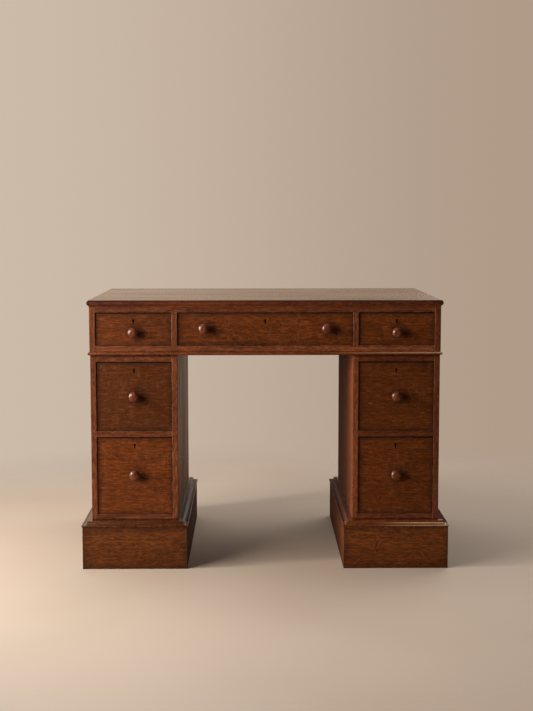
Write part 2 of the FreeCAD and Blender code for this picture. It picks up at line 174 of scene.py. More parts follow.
class Colour(Signal):
    """A colour that varies over a surface, mixed by Mix nodes."""

    def toward(self, other: "ColourLike", amount: "Operand") -> "Colour":
        """Blend towards another colour, by an amount from 0 to 1."""
        return self.net.mix(self, other, amount)

    def times(self, other: "ColourLike") -> "Colour":
        """Multiply by another colour."""
        return self.net.mix(self, other, 1.0, "MULTIPLY")


Operand = Union[Signal, float, Triple]
ColourLike = Union[Colour, Paint]


class ShaderNet:
    """A node tree that is built by expressions."""

    def __init__(self, tree: bpy.types.NodeTree) -> None:
        """Start with the emptied tree of a material or of the world."""
        self.tree = tree
        tree.nodes.clear()

    @classmethod
    def for_material(cls, name: str) -> tuple["ShaderNet", bpy.types.Material]:
        """Make a new material.

        Args:
            name: The material's name.

        Returns:
            Its net, and the material.
        """
        material = bpy.data.materials.new(name)
        material.use_nodes = True
        return cls(material.node_tree), material

    def add(self, kind: str, settings: dict[str, object],
            inputs: dict[Union[int, str], object]) -> bpy.types.Node:
        """Add any node.

        Args:
            kind: The node's type.
            settings: Its own settings, set before its sockets.
            inputs: Values or links for its input sockets, by index or name.

        Returns:
            The node.
        """
        node = self.tree.nodes.new(kind)
        for name, value in settings.items():
            setattr(node, name, value)
        for key, value in inputs.items():
            if isinstance(value, Signal):
                self.tree.links.new(value.socket, node.inputs[key])
            elif isinstance(value, bpy.types.NodeSocket):
                self.tree.links.new(value, node.inputs[key])
            else:
                node.inputs[key].default_value = value
        return node

    def place(self) -> Place:
        """The position on the piece, in its own coordinates."""
        return Place(self, self.add("ShaderNodeTexCoord", {}, {}).outputs["Object"])

    def facing(self) -> Place:
        """The direction that the surface faces, in the piece's own coordinates."""
        return Place(self, self.add("ShaderNodeTexCoord", {}, {}).outputs["Normal"])

    def join(self, along: Operand, across: Operand, deep: Operand) -> Place:
        """Make a position from three coordinates."""
        node = self.add("ShaderNodeCombineXYZ", {}, {0: along, 1: across, 2: deep})
        return Place(self, node.outputs[0])

    def ray(self, kind: str) -> Signal:
        """One on rays of a kind, such as Camera or Glossy, and zero on others."""
        return Signal(self, self.add("ShaderNodeLightPath", {}, {}).outputs[f"Is {kind} Ray"])

    def mix(self, first: ColourLike, second: ColourLike, amount: Operand,
            blend: str = "MIX") -> Colour:
        """Mix two colours.

        Args:
            first: The colour at 0.
            second: The colour at 1.
            amount: The share of the second.
            blend: The kind of blend.

        Returns:
            The mix.
        """
        node = self.add("ShaderNodeMix", {"data_type": "RGBA", "blend_type": blend},
                        {0: amount, 6: first, 7: second})
        return Colour(self, node.outputs[2])

    def choose(self, first: Place, second: Place, amount: Operand) -> Place:
        """Mix two positions, so that each holds in its own part of a surface.

        Args:
            first: The position where the amount is 0.
            second: The position where it is 1.
            amount: The share of the second, from 0 to 1.

        Returns:
            The mix.
        """
        node = self.add("ShaderNodeMix", {"data_type": "VECTOR"},
                        {0: amount, 4: first, 5: second})
        return Place(self, node.outputs[1])

    def grey(self, value: Operand) -> Colour:
        """A value as a grey colour, for a blend that multiplies."""
        return self.mix(BLACK, WHITE, value)

    def bump(self, height: Signal, strength: float, distance: float,
             base: Place | None = None) -> bpy.types.NodeSocket:
        """Tilt the surface's normal by a height.

        Args:
            height: How high the surface stands, in shares of the distance.
            strength: How much of the tilt is used.
            distance: The height that a value of 1 stands for.
            base: The normal that is tilted, or none for the mesh's own.

        Returns:
            The socket of the tilted normal.
        """
        inputs = {"Height": height, "Strength": strength, "Distance": distance}
        if base is not None:
            inputs["Normal"] = base
        return self.add("ShaderNodeBump", {}, inputs).outputs[0]

    def leaning(self, lean: Place) -> Place:
        """Lean the mesh's normal.

        Args:
            lean: The vector that is added to it, in the piece's coordinates.

        Returns:
            The leaned normal, in the scene's coordinates.
        """
        leaned = self.facing() + lean
        tilted = leaned.combine("NORMALIZE", leaned)
        node = self.add("ShaderNodeVectorTransform", {
            "vector_type": "NORMAL", "convert_from": "OBJECT", "convert_to": "WORLD"},
            {0: tilted})
        return Place(self, node.outputs[0])

    def surface(self, **inputs: object) -> None:
        """End the net in one principled surface.

        Args:
            inputs: Its sockets, by name with underscores for spaces.
        """
        named = {name.replace("_", " "): value for name, value in inputs.items()}
        shader = self.add("ShaderNodeBsdfPrincipled", {}, named)
        self.add("ShaderNodeOutputMaterial", {}, {0: shader.outputs[0]})


@dataclass(frozen=True)
class Layer:
    """One layer of random variation, by its features a metre along three axes."""

    scale: Triple
    detail: float = 2.0
    roughness: float = 0.5
    warp: float = 0.0

    def draw(self, place: Place) -> Signal:
        """Draw the layer.

        Args:
            place: The position on the surface.

        Returns:
            A value mostly between 0.25 and 0.75.
        """
        node = place.net.add("ShaderNodeTexNoise", {}, {
            "Vector": place * self.scale, "Scale": 1.0, "Detail": self.detail,
            "Roughness": self.roughness, "Distortion": self.warp})
        return Signal(place.net, node.outputs[0])


class Grain(Enum):
    """The direction that a board's fibres run in, as the order that its coordinates are read."""

    SIDEWAYS = (0, 1, 2)
    DEEP = (1, 0, 2)
    UPRIGHT = (2, 0, 1)


class Turn(Enum):
    """Where a node's grain takes a second direction."""

    NOWHERE = "the whole node has one direction"
    MITRES = "the side lengths of a mitred ring run to the back"
    FRONT_EDGE = "the front edge is faced with an upright strip"
    FACES = "faces that look to the front or back run sideways"


@dataclass(frozen=True)
class Board:
    """The box of one board, whose edges wear and gather grime."""

    low: Triple
    high: Triple

    @classmethod
    def of(cls, *nodes: str) -> "Board":
        """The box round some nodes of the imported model.

        Args:
            nodes: Their names.

        Returns:
            The box.
        """
        boxes = [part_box(node) for node in nodes]
        return cls(tuple(min(box[0][axis] for box in boxes) for axis in range(3)),
                   tuple(max(box[1][axis] for box in boxes) for axis in range(3)))

    def between(self, base: float, top: float) -> "Board":
        """The slice of this box between two heights."""
        return Board((self.low[0], self.low[1], base), (self.high[0], self.high[1], top))

    def edge_distance(self, place: Place) -> Signal:
        """How far a point of the box's surface lies from the nearest edge of the box.

        On a face one of the three distances to the sides is zero, so it is the middle one.

        Args:
            place: The position on the surface.

        Returns:
            The distance in metres, negative away from the box.
        """
        inward = (place - self.low).combine(
            "MINIMUM", place - self.low, place.combine("SUBTRACT", self.high, place))
        side, depth, height = inward.parts()
        return side.least(depth).most(side.most(depth).least(height))

    def outward(self, place: Place, width: float, slack: float = 0.2 * MM) -> Place:
        """Which way the box's rounded arrises lean, near its edges.

        Args:
            place: The position on the surface.
            width: How far in from an edge the rounding reaches.
            slack: How far outside the box a point still counts as on it.

        Returns:
            A vector whose parts are 1 or -1 at the box's limits and 0 away from them.
        """
        leans, held = [], []
        for part, low, high in zip(place.parts(), self.low, self.high):
            leans.append(part.rise(high - width, high) - part.rise(low + width, low))
            held.append(part.above(low - slack) * (high + slack - part).above(0.0))
        inside = held[0] * held[1] * held[2]
        return place.net.join(*(lean * inside for lean in leans))


@dataclass(frozen=True)
class Zone:
    """A part of a node, past a limit along one axis, whose polish differs, also used for painted
    light and shade.

    It is full past its end, or only as far as its stop. Its tint multiplies the wood's colour
    or, with a cover, is laid over it. Each limit is another axis with the places where the zone
    is nothing and full. A side of 1 or -1 keeps it to faces that look to the right or left.
    """

    axis: int
    start: float
    end: float
    tint: Triple
    stop: float | None = None
    least_rough: float = 0.0
    coated: float = 1.0
    uneven: float = 0.0
    cover: float = 0.0
    limits: tuple[tuple[int, float, float], ...] = ()
    side: int = 0

    def share(self, place: Place) -> Signal:
        """How far a point lies in the zone.

        Args:
            place: The position on the surface.

        Returns:
            A share from 0 at the zone's start to 1 past its end.
        """
        axes = place.parts()
        share = axes[self.axis].rise(self.start, self.end)
        if self.stop is not None:
            ramp = self.end - self.start
            share = share * axes[self.axis].rise(self.stop + ramp, self.stop)
        for axis, none, full in self.limits:
            share = share * axes[axis].rise(none, full)
        if self.side != 0:
            share = share * (place.net.facing().parts()[0] * self.side).rise(0.2, 0.5)
        return share


@dataclass(frozen=True)
class Polish:
    """The colours and gloss of one polish on oak."""

    dark: Paint
    light: Paint
    worn: Paint
    pore: Paint = tone(27, 11, 6)
    soot: Paint = tone(30, 13, 7)
    fleck: Paint = tone(154, 95, 60)
    fleck_amount: float = 0.30
    glint: float = 0.34
    pore_amount: float = 0.45
    mottle: float = 0.34
    grime: float = 0.45
    grime_width: float = 16.0 * MM
    wear: float = 0.55
    gloss: float = 0.38
    shine: float = 0.24
    coat: float = 0.05
    relief: float = 0.35
    patchy: float = 1.0


class OakFigure:
    """The figure of oak as it lies on one piece, which colour, gloss and relief come from."""

    SWAY = Layer((1.6, 7.0, 7.0))
    SWAY_REACH = 0.05
    FLOW = Layer((13.0, 13.0, 13.0))
    FLOW_REACH = 0.035
    STREAK_RUN = 2.4
    DASHES = Layer((40.0, 260.0, 260.0), 3.0, 0.65, 0.4)
    LINES = Layer((7.0, 380.0, 380.0), 3.0, 0.55)
    PORES = Layer((44.0, 1300.0, 1300.0), 1.0)
    MOTTLE = Layer((7.0, 15.0, 15.0), 3.0, 0.6, 0.6)
    RIPPLES = Layer((105.0, 26.0, 26.0), 2.0, 0.5, 1.3)
    PATCHES = Layer((9.0, 11.0, 11.0), 1.0)

    def __init__(self, fibres: Place, across: float) -> None:
        """Draw the layers.

        Args:
            fibres: The position, with its first coordinate along the fibres.
            across: How many streaks lie in a metre across the fibres.
        """
        net = fibres.net
        sway = self.SWAY.draw(fibres) * self.SWAY_REACH
        fibres = fibres + net.join(0.0, sway, sway)
        flow = self.FLOW.draw(fibres) * self.FLOW_REACH
        self.streaks = Layer((self.STREAK_RUN, across, across), 5.0, 0.62, 0.4).draw(fibres)
        self.dashes = self.DASHES.draw(fibres + net.join(0.0, flow, flow))
        self.lines = self.LINES.draw(fibres)
        self.pores = self.PORES.draw(fibres).rise(0.55, 0.68)
        self.mottle = self.MOTTLE.draw(fibres)
        self.ripples = self.RIPPLES.draw(fibres)
        self.fleck = self.ripples.rise(0.53, 0.70) * self.PATCHES.draw(fibres).rise(0.42, 0.60)

    def grain(self) -> Signal:
        """How light the wood is, from 0 to 1."""
        return (self.streaks.rise(0.30, 0.72) * 0.34 + self.lines.rise(0.25, 0.75) * 0.16
                + self.dashes.rise(0.36, 0.64) * 0.50)

    def relief(self) -> Signal:
        """How high the surface stands."""
        return self.lines * 0.5 + self.fleck * 0.25 - self.pores * 0.9 + self.ripples * 0.2


@dataclass
class Surface:
    """A piece's surface while its finish is built up: its place, its figure, its look so far."""

    place: Place
    figure: OakFigure
    colour: Colour
    rough: Signal
    coat: Signal


@dataclass(frozen=True)
class OakFinish:
    """Polished oak: growth streaks, pores, ray fleck, mottle, and grime and wear at the edges.

    The wood is left bare behind one place along Y, and is darkened round each listed spot by a
    painted knob shadow. A crack is a short arc to the left of its middle.
    """

    name: str
    polish: Polish
    grain: Grain
    boards: tuple[Board, ...] = ()
    seed: int = 0
    turn: Turn = Turn.NOWHERE
    zones: tuple[Zone, ...] = ()
    tint: Triple = (1.0, 1.0, 1.0)
    shade: float = 0.0
    streak_scale: float = 150.0
    rounded: bool = True
    lean: Triple = (4.0, 4.0, 4.0)
    edge_skin: float = 1.6 * MM
    arris_width: float = 1.3 * MM
    worn_width: Point = (1.5 * MM, 0.5 * MM)
    rub: Layer = Layer((70.0, 70.0, 70.0))
    coat_rough: float = 0.22
    relief_depth: float = 0.25 * MM
    seed_shift: Triple = (1.31, 0.37, 0.71)
    raw_behind: float | None = None
    raw_blend: float = 5.0 * MM
    raw_ragged: float = 3.0 * MM
    raw_rough: float = 0.62
    bare: tuple[Paint, Paint] = (tone(112, 74, 44), tone(158, 116, 76))
    # Painted knob shadows: their middles, reach, depth and ragged edge.
    handled: tuple[Triple, ...] = ()
    handled_reach: Point = (9.0 * MM, 34.0 * MM)
    handled_amount: float = 0.48
    handled_ragged: float = 4.0 * MM
    crack: Triple | None = None
    crack_radius: float = 17.0 * MM
    crack_width: float = 2.0 * MM
    crack_amount: float = 0.9
    keyhole: Triple | None = None
    keyhole_reach: Point = (6.0 * MM, 8.0 * MM)
    keyhole_skin: Point = (0.2 * MM, 0.8 * MM)
    # Painted shade on the keyhole's inner walls.
    keyhole_shadow: Paint = tone(8, 5, 4)

    def fibres(self, place: Place) -> Place:
        """Read the position along and across the fibres, away from other boards' patterns.

        Args:
            place: The position on the node.

        Returns:
            The position with its first coordinate along the fibres.
        """
        net, axes = place.net, place.parts()
        first = net.join(*(axes[index] for index in self.grain.value))
        mask, second = None, Grain.UPRIGHT
        if self.turn is Turn.MITRES:
            board = self.boards[0]
            to_side, to_end = (abs(axes[axis] - (board.low[axis] + board.high[axis]) / 2)
                               - (board.high[axis] - board.low[axis]) / 2 for axis in (0, 1))
            mask, second = to_side.above(to_end), Grain.DEEP
        elif self.turn is Turn.FRONT_EDGE:
            mask = (self.boards[0].low[1] + self.edge_skin - axes[1]).above(0.0)
        elif self.turn is Turn.FACES:
            mask, second = abs(net.facing().parts()[1]).above(0.5), Grain.SIDEWAYS
        if mask is not None:
            first = net.choose(first, net.join(*(axes[index] for index in second.value)), mask)
        return first + tuple(shift * self.seed for shift in self.seed_shift)

    def wood(self, figure: OakFigure) -> Colour:
        """The polished wood's colour before its age.

        Args:
            figure: The wood's figure.

        Returns:
            The colour.
        """
        look, net = self.polish, figure.streaks.net
        colour = net.mix(look.dark, look.light, figure.grain() * (1.0 - self.shade))
        cloud = (1.0 - 0.5 * look.mottle) + figure.mottle.rise(0.30, 0.70) * look.mottle
        colour = colour.times(net.grey(cloud))
        colour = colour.toward(look.fleck, figure.fleck * look.fleck_amount)
        colour = colour.toward(look.fleck, figure.dashes.rise(0.54, 0.70) * look.glint)
        return colour.toward(look.pore, figure.pores * look.pore_amount)

    def roughness(self, figure: OakFigure) -> Signal:
        """The polish's roughness before its age."""
        uneven = (figure.dashes - 0.5) * 0.45 + (figure.ripples - 0.5) * 0.25
        return self.polish.gloss + figure.pores * 0.10 + uneven * self.polish.patchy

    def wander(self, figure: OakFigure) -> Signal:
        """How far the grime strays from an even width."""
        return (figure.mottle - 0.5) * (0.7 * self.polish.grime_width)

    def age(self, surface: Surface) -> None:
        """Gather grime and wear along the edges of the finish's boards.

        Args:
            surface: The surface, whose look is changed.
        """
        look = self.polish
        nearest = reduce(Signal.most, (board.edge_distance(surface.place)
                                       for board in self.boards))
        grime = (nearest + self.wander(surface.figure)).rise(look.grime_width, 0.0) * look.grime
        rubbed = self.rub.draw(surface.place).rise(0.40, 0.58)
        worn = nearest.rise(*self.worn_width) * rubbed * look.wear
        surface.colour = surface.colour.toward(look.soot, grime).toward(look.worn, worn)
        surface.rough = surface.rough + grime * 0.15

    def apply_tints(self, surface: Surface) -> None:
        """Darken, brighten or dull the whole wood and the finish's zones, some of which are
        painted light and shade.

        Args:
            surface: The surface, whose look is changed.
        """
        surface.colour = surface.colour.times((*self.tint, 1.0))
        for zone in self.zones:
            share, tint = zone.share(surface.place), (*zone.tint, 1.0)
            if zone.cover > 0.0:
                surface.colour = surface.colour.toward(tint, share * zone.cover)
            else:
                surface.colour = surface.colour.times(share.net.mix(WHITE, tint, share))
            if zone.least_rough > 0.0:
                rough = zone.least_rough + (surface.figure.streaks - 0.5) * zone.uneven
                surface.rough = surface.rough.most(share * rough)
            if zone.coated < 1.0:
                surface.coat = (1.0 - share * (1.0 - zone.coated)) * surface.coat

    def leave_bare(self, surface: Surface) -> None:
        """Leave the wood unpolished behind the face.

        Args:
            surface: The surface, whose look is changed.
        """
        deep = surface.place.parts()[1] + surface.figure.lines * self.raw_ragged
        raw = deep.rise(self.raw_behind, self.raw_behind + self.raw_blend)
        bare = raw.net.mix(*self.bare, surface.figure.grain())
        surface.colour = surface.colour.toward(bare, raw)
        surface.rough = surface.rough.most(raw * self.raw_rough)

    def handle(self, surface: Surface, spot: Triple) -> None:
        """Paint a knob's shadow: darken the wood round a spot beside the knob.

        Args:
            surface: The surface, whose look is changed.
            spot: The middle of the painted shadow.
        """
        side, _, up = (surface.place - spot).parts()
        near, far = (reach ** 2 for reach in self.handled_reach)
        ragged = self.wander(surface.figure) * self.handled_ragged
        dark = (side * side + up * up + ragged).rise(far, near) * self.handled_amount
        surface.colour = surface.colour.toward(self.polish.pore, dark)

    def split(self, surface: Surface) -> None:
        """Draw the crack.

        Args:
            surface: The surface, whose look is changed.
        """
        side, _, up = (surface.place - self.crack).parts()
        radius = self.crack_radius
        off = abs(side * side + up * up - radius ** 2)
        line = off.rise(2.0 * radius * self.crack_width, 0.6 * radius * self.crack_width)
        arc = (0.0 - side).rise(0.5 * radius, 0.8 * radius) * self.crack_amount
        surface.colour = surface.colour.toward(self.polish.pore, line * arc)

    def shade_keyhole(self, surface: Surface) -> None:
        """Paint shade on the inside of the keyhole.

        Args:
            surface: The surface, whose look is changed.
        """
        side, deep, up = (surface.place - self.keyhole).parts()
        wide, tall = self.keyhole_reach
        inside = abs(side).rise(wide + MM, wide) * abs(up).rise(tall + MM, tall)
        surface.colour = surface.colour.toward(self.keyhole_shadow,
                                               inside * deep.rise(*self.keyhole_skin))

    def normal(self, place: Place) -> Place | None:
        """Round the boards' arrises, where the mesh doesn't round its own.

        Args:
            place: The position on the surface.

        Returns:
            The rounded normal, or none.
        """
        if not self.boards or not self.rounded:
            return None
        leans = [board.outward(place, self.arris_width) for board in self.boards]
        return place.net.leaning(reduce(Place.__add__, leans) * self.lean)

    def build(self) -> bpy.types.Material:
        """Make the material.

        Returns:
            The material.
        """
        net, material = ShaderNet.for_material(self.name)
        look, place = self.polish, net.place()
        figure = OakFigure(self.fibres(place), self.streak_scale)
        coat = look.coat * (0.6 + figure.streaks.rise(0.35, 0.65) * 0.8)
        surface = Surface(place, figure, self.wood(figure), self.roughness(figure), coat)
        if self.boards:
            self.age(surface)
        self.apply_tints(surface)
        if self.raw_behind is not None:
            self.leave_bare(surface)
        for spot in self.handled:
            self.handle(surface, spot)
        if self.crack is not None:
            self.split(surface)
        if self.keyhole is not None:
            self.shade_keyhole(surface)
        net.surface(Base_Color=surface.colour, Roughness=surface.rough,
                    Coat_Weight=surface.coat, Specular_IOR_Level=look.shine,
                    Coat_Roughness=self.coat_rough,
                    Normal=net.bump(figure.relief(), look.relief, self.relief_depth,
                                    self.normal(place)))
        return material


@dataclass(frozen=True)
class TurnedWoodFinish:
    """The knobs' close, darkened wood with a hand-rubbed shine."""

    name: str = "knob_wood"
    streaks: Layer = Layer((150.0, 18.0, 60.0), 4.0, 0.6, 0.5)
    pores: Layer = Layer((900.0, 60.0, 420.0), 1.0)
    cloud: Layer = Layer((34.0, 34.0, 34.0))
    dark: Paint = tone(74, 33, 16)
    light: Paint = tone(134, 68, 38)
    cloudy: Paint = tone(46, 18, 9)
    pore: Paint = tone(26, 11, 6)
    gloss: float = 0.28
    relief_depth: float = 0.2 * MM

    def build(self) -> bpy.types.Material:
        """Make the material.

        Returns:
            The material.
        """
        net, material = ShaderNet.for_material(self.name)
        place = net.place()
        streaks, cloud = self.streaks.draw(place), self.cloud.draw(place)
        pores = self.pores.draw(place).rise(0.56, 0.70)
        colour = net.mix(self.dark, self.light, streaks.rise(0.30, 0.72))
        colour = colour.toward(self.cloudy, cloud.rise(0.50, 0.72) * 0.35)
        colour = colour.toward(self.pore, pores * 0.45)
        net.surface(Base_Color=colour, Roughness=self.gloss + cloud * 0.10, Coat_Weight=0.5,
                    Specular_IOR_Level=0.5, Coat_Roughness=0.17,
                    Normal=net.bump(streaks - pores, 0.15, self.relief_depth))
        return material


@dataclass(frozen=True)
class AgedMetalFinish:
    """Old brass or steel: bright where it is rubbed, dull and darker elsewhere."""

    name: str
    bright: Paint
    dull: Paint
    gloss: float
    front_dark: float = 0.0
    shade: Paint = tone(14, 10, 7)
    cloud: Layer = Layer((130.0, 130.0, 130.0), 4.0, 0.6)
    scratches: Layer = Layer((90.0, 2400.0, 2400.0), 1.0)
    relief_depth: float = 0.1 * MM

    def build(self) -> bpy.types.Material:
        """Make the material.

        Returns:
            The material.
        """
        net, material = ShaderNet.for_material(self.name)
        place = net.place()
        cloud, scratches = self.cloud.draw(place), self.scratches.draw(place)
        tarnish = cloud.rise(0.40, 0.66)
        # Faces that look to the front, seen through the keyhole, get painted shade by front_dark.
        hidden = (0.0 - net.facing().parts()[1]).above(0.5)
        colour = net.mix(self.bright, self.dull, tarnish)
        colour = colour.toward(self.shade, hidden * self.front_dark)
        net.surface(Base_Color=colour, Metallic=1.0,
                    Roughness=self.gloss + tarnish * 0.22 + scratches * 0.08,
                    Normal=net.bump(scratches + cloud, 0.12, self.relief_depth))
        return material


class Finishes:
    """The desk's polishes and its shared materials."""

    def __init__(self) -> None:
        """Set the polishes, and make the materials that several pieces share."""
        self.front = Polish(dark=tone(70, 34, 3), light=tone(126, 58, 14),
                            worn=tone(136, 79, 46), fleck_amount=0.16, glint=0.22)
        self.stile = Polish(dark=tone(76, 34, 14), light=tone(137, 73, 38),
                            worn=tone(155, 96, 63), fleck_amount=0.12, grime=0.2,
                            grime_width=5.0 * MM)
        self.rail = Polish(dark=tone(80, 36, 15), light=tone(146, 78, 43),
                           worn=tone(157, 98, 63), fleck_amount=0.30, grime=0.25,
                           grime_width=6.0 * MM)
        self.side = Polish(dark=tone(63, 30, 14), light=tone(115, 67, 36),
                           worn=tone(137, 89, 58), fleck_amount=0.12, grime=0.4,
                           grime_width=30.0 * MM)
        self.top = Polish(dark=tone(76, 38, 15), light=tone(144, 90, 48),
                          worn=tone(176, 122, 82), fleck_amount=0.12, grime=0.2,
                          grime_width=20.0 * MM, gloss=0.27, shine=0.3, coat=0.4,
                          relief=0.1, patchy=0.3)
        self.base = Polish(dark=tone(60, 29, 6), light=tone(119, 62, 22),
                           worn=tone(122, 73, 43), fleck_amount=0.10, glint=0.08, grime=0.38,
                           grime_width=22.0 * MM, shine=0.2)
        # The pale colour of painted highlights along the bead and mouldings.
        self.highlight_colour = tone(232, 186, 138)[:3]
        self.moulded = replace(self.base, dark=tone(62, 28, 9), light=tone(118, 58, 26),
                               gloss=0.24, shine=0.35, coat=0.2, grime=0.2,
                               relief=0.12, patchy=0.3)
        self.lining = Polish(dark=tone(132, 90, 56), light=tone(178, 130, 88),
                             worn=tone(160, 124, 86), pore=tone(96, 66, 38),
                             soot=tone(80, 54, 34), fleck=tone(178, 146, 108),
                             pore_amount=0.2, glint=0.12, mottle=0.16, gloss=0.62,
                             shine=0.2, coat=0.0)
        self.lining_wood = OakFinish("lining_wood", self.lining, Grain.DEEP, seed=40,
                                     turn=Turn.FACES).build()
        brass = (tone(196, 156, 92), tone(112, 82, 44), 0.26)
        self.brass = AgedMetalFinish("lock_brass", *brass).build()
        # The lock case's front, seen through the keyhole, is painted in shade.
        self.lock = AgedMetalFinish("lock_case_brass", *brass, front_dark=1.0).build()
        # The keyhole liner is nearly black: blackened old brass, and painted shade that widens the
        # keyhole's dark.
        self.black_brass = AgedMetalFinish("keyhole_brass", tone(62, 46, 28), tone(26, 19, 12),
                                           0.45).build()
        self.steel = AgedMetalFinish("bolt_steel", tone(176, 172, 166), tone(96, 90, 84),
                                     0.30).build()
        self.knob = TurnedWoodFinish().build()


def dress(node: str, material: bpy.types.Material) -> None:
    """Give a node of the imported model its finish.

    Args:
        node: The node's name.
        material: The finish.
    """
    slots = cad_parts[node].material_slots
    if len(slots) == 0:
        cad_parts[node].data.materials.append(material)
    for slot in slots:
        slot.material = material
    log.info("dressed %s with %s", node, material.name)


def dress_oak(node: str, polish: Polish, grain: Grain, seed: int,
              boards: tuple[Board, ...] = (), **looks: object) -> None:
    """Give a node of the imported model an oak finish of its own.

    Args:
        node: The node's name.
        polish: Its polish.
        grain: The way that its fibres run.
        seed: Sets its figure apart from that of other boards.
        boards: The boxes of its boards, or none where the node is one board.
        looks: Other values of the finish.
    """
    boards = boards or (Board.of(node),)
    oak = OakFinish(node + "_oak", polish, grain, boards, seed, **looks).build()
    dress(node, oak)


def arc_through(start: Point, through: Point, end: Point, steps: int) -> list[Point]:
    """Points along the arc through three points, without its start.

    Args:
        start: Where the arc starts.
        through: A point on the way.
        end: Where the arc ends.
        steps: How many chords stand for it.

    Returns:
        The points, ending with the end.
    """
    (ax, ay), (bx, by), (cx, cy) = start, through, end
    twice = 2 * (ax * (by - cy) + bx * (cy - ay) + cx * (ay - by))
    a_far, b_far, c_far = ax * ax + ay * ay, bx * bx + by * by, cx * cx + cy * cy
    middle_x = (a_far * (by - cy) + b_far * (cy - ay) + c_far * (ay - by)) / twice
    middle_y = (a_far * (cx - bx) + b_far * (ax - cx) + c_far * (bx - ax)) / twice
    radius = sqrt((ax - middle_x) ** 2 + (ay - middle_y) ** 2)
    turns = [atan2(y - middle_y, x - middle_x) for x, y in (start, through, end)]
    clockwise = (bx - ax) * (cy - ay) - (by - ay) * (cx - ax) < 0
    sweep = (turns[2] - turns[0]) % (2 * pi)
    if clockwise:
        sweep -= 2 * pi
    return [(middle_x + radius * cos(turns[0] + sweep * step / steps),
             middle_y + radius * sin(turns[0] + sweep * step / steps))
            for step in range(1, steps + 1)]


def ring(radius: float, sides: int) -> list[Point]:
    """Points round a circle.

    Args:
        radius: The circle's radius.
        sides: How many points stand for it.

    Returns:
        The points, or its middle alone where the radius is nothing.
    """
    if radius <= 0.0:
        return [(0.0, 0.0)]
    turns = [2 * pi * side / sides for side in range(sides)]
    return [(radius * cos(turn), radius * sin(turn)) for turn in turns]


def skin(work: bmesh.types.BMesh, loops: Sequence[Sequence[bmesh.types.BMVert]],
         closed: bool = False) -> None:
    """Join runs of vertices with faces, where a run of one vertex is a tip.

    Args:
        work: The mesh that the runs are in.
        loops: The runs, each of which closes on itself.
        closed: Whether the last run joins the first.
    """
    for near, far in zip(loops, [*loops[1:], loops[0]] if closed else loops[1:]):
        for index in range(max(len(near), len(far))):
            corners = (near[index % len(near)], near[(index + 1) % len(near)],
                       far[(index + 1) % len(far)], far[index % len(far)])
            work.faces.new(tuple(dict.fromkeys(corners)))


def put(name: str, data: bpy.types.ID) -> bpy.types.Object:
    """Put an object in the scene.

    Args:
        name: The object's name.
        data: What it shows: a mesh, a lamp or a camera.

    Returns:
        The object.
    """
    thing = bpy.data.objects.new(name, data)
    bpy.context.scene.collection.objects.link(thing)
    return thing


def put_mesh(name: str, work: bmesh.types.BMesh,
             material: bpy.types.Material) -> bpy.types.Object:
    """Put a worked mesh in the scene.

    Args:
        name: The name of the mesh and of its object.
        work: The mesh, which is freed.
        material: Its finish.

    Returns:
        The object.
    """
    mesh = bpy.data.meshes.new(name)
    work.to_mesh(mesh)
    work.free()
    mesh.materials.append(material)
    return put(name, mesh)


def finished(name: str, work: bmesh.types.BMesh, material: bpy.types.Material, body: str,
             replaced: Sequence[str] = (), crease: float = 0.6) -> None:
    """Turn a worked mesh into a piece that rides on a body.

    Args:
        name: The piece's name.
        work: The mesh, which is freed.
        material: Its finish.
        body: The body that carries it.
        replaced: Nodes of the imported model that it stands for.
        crease: The angle in radians past which an edge stays crisp.
    """
    bmesh.ops.recalc_face_normals(work, faces=work.faces)
    for face in work.faces:
        face.smooth = True
    for edge in work.edges:
        edge.smooth = edge.calc_face_angle(0.0) < crease
    piece = put_mesh(name, work, material)
    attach(piece, body)
    if replaced:
        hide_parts(*replaced)
    log.info("made %s, %d faces, on %s", name, len(piece.data.polygons), body)


@dataclass(frozen=True)
class RingPlan:
    """A rectangle that a moulding is run round, with slightly eased mitres."""

    middle: Point
    half_width: float
    half_depth: float
    easing: float = 0.6 * MM
    corner_steps: int = 3
    crease: float = 0.45

    def loop(self, work: bmesh.types.BMesh, out: float, height: float) -> list[bmesh.types.BMVert]:
        """One run of vertices round the rectangle.

        Args:
            work: The mesh that they go in.
            out: How far outside the rectangle they lie.
            height: Their height.

        Returns:
            The vertices, corner by corner.
        """
        width = self.half_width + out - self.easing
        depth = self.half_depth + out - self.easing
        corners = [(1, -1, -pi / 2), (1, 1, 0.0), (-1, 1, pi / 2), (-1, -1, pi)]
        points = []
        for side, end, start in corners:
            for step in range(self.corner_steps + 1):
                turn = start + pi / 2 * step / self.corner_steps
                points.append((self.middle[0] + side * width + self.easing * cos(turn),
                               self.middle[1] + end * depth + self.easing * sin(turn)))
        return [work.verts.new((x, y, height)) for x, y in points]

    def run(self, work: bmesh.types.BMesh, profile: Sequence[Point], base: float,
            closed: bool) -> list[list[bmesh.types.BMVert]]:
        """Run a profile round the rectangle.

        Args:
            work: The mesh that it goes in.
            profile: Its points, as the distance outward and up.
            base: The height that the profile starts from.
            closed: Whether its last point joins its first.

        Returns:
            The runs of vertices.
        """
        loops = [self.loop(work, out, base + up) for out, up in profile]
        skin(work, loops, closed)
        return loops


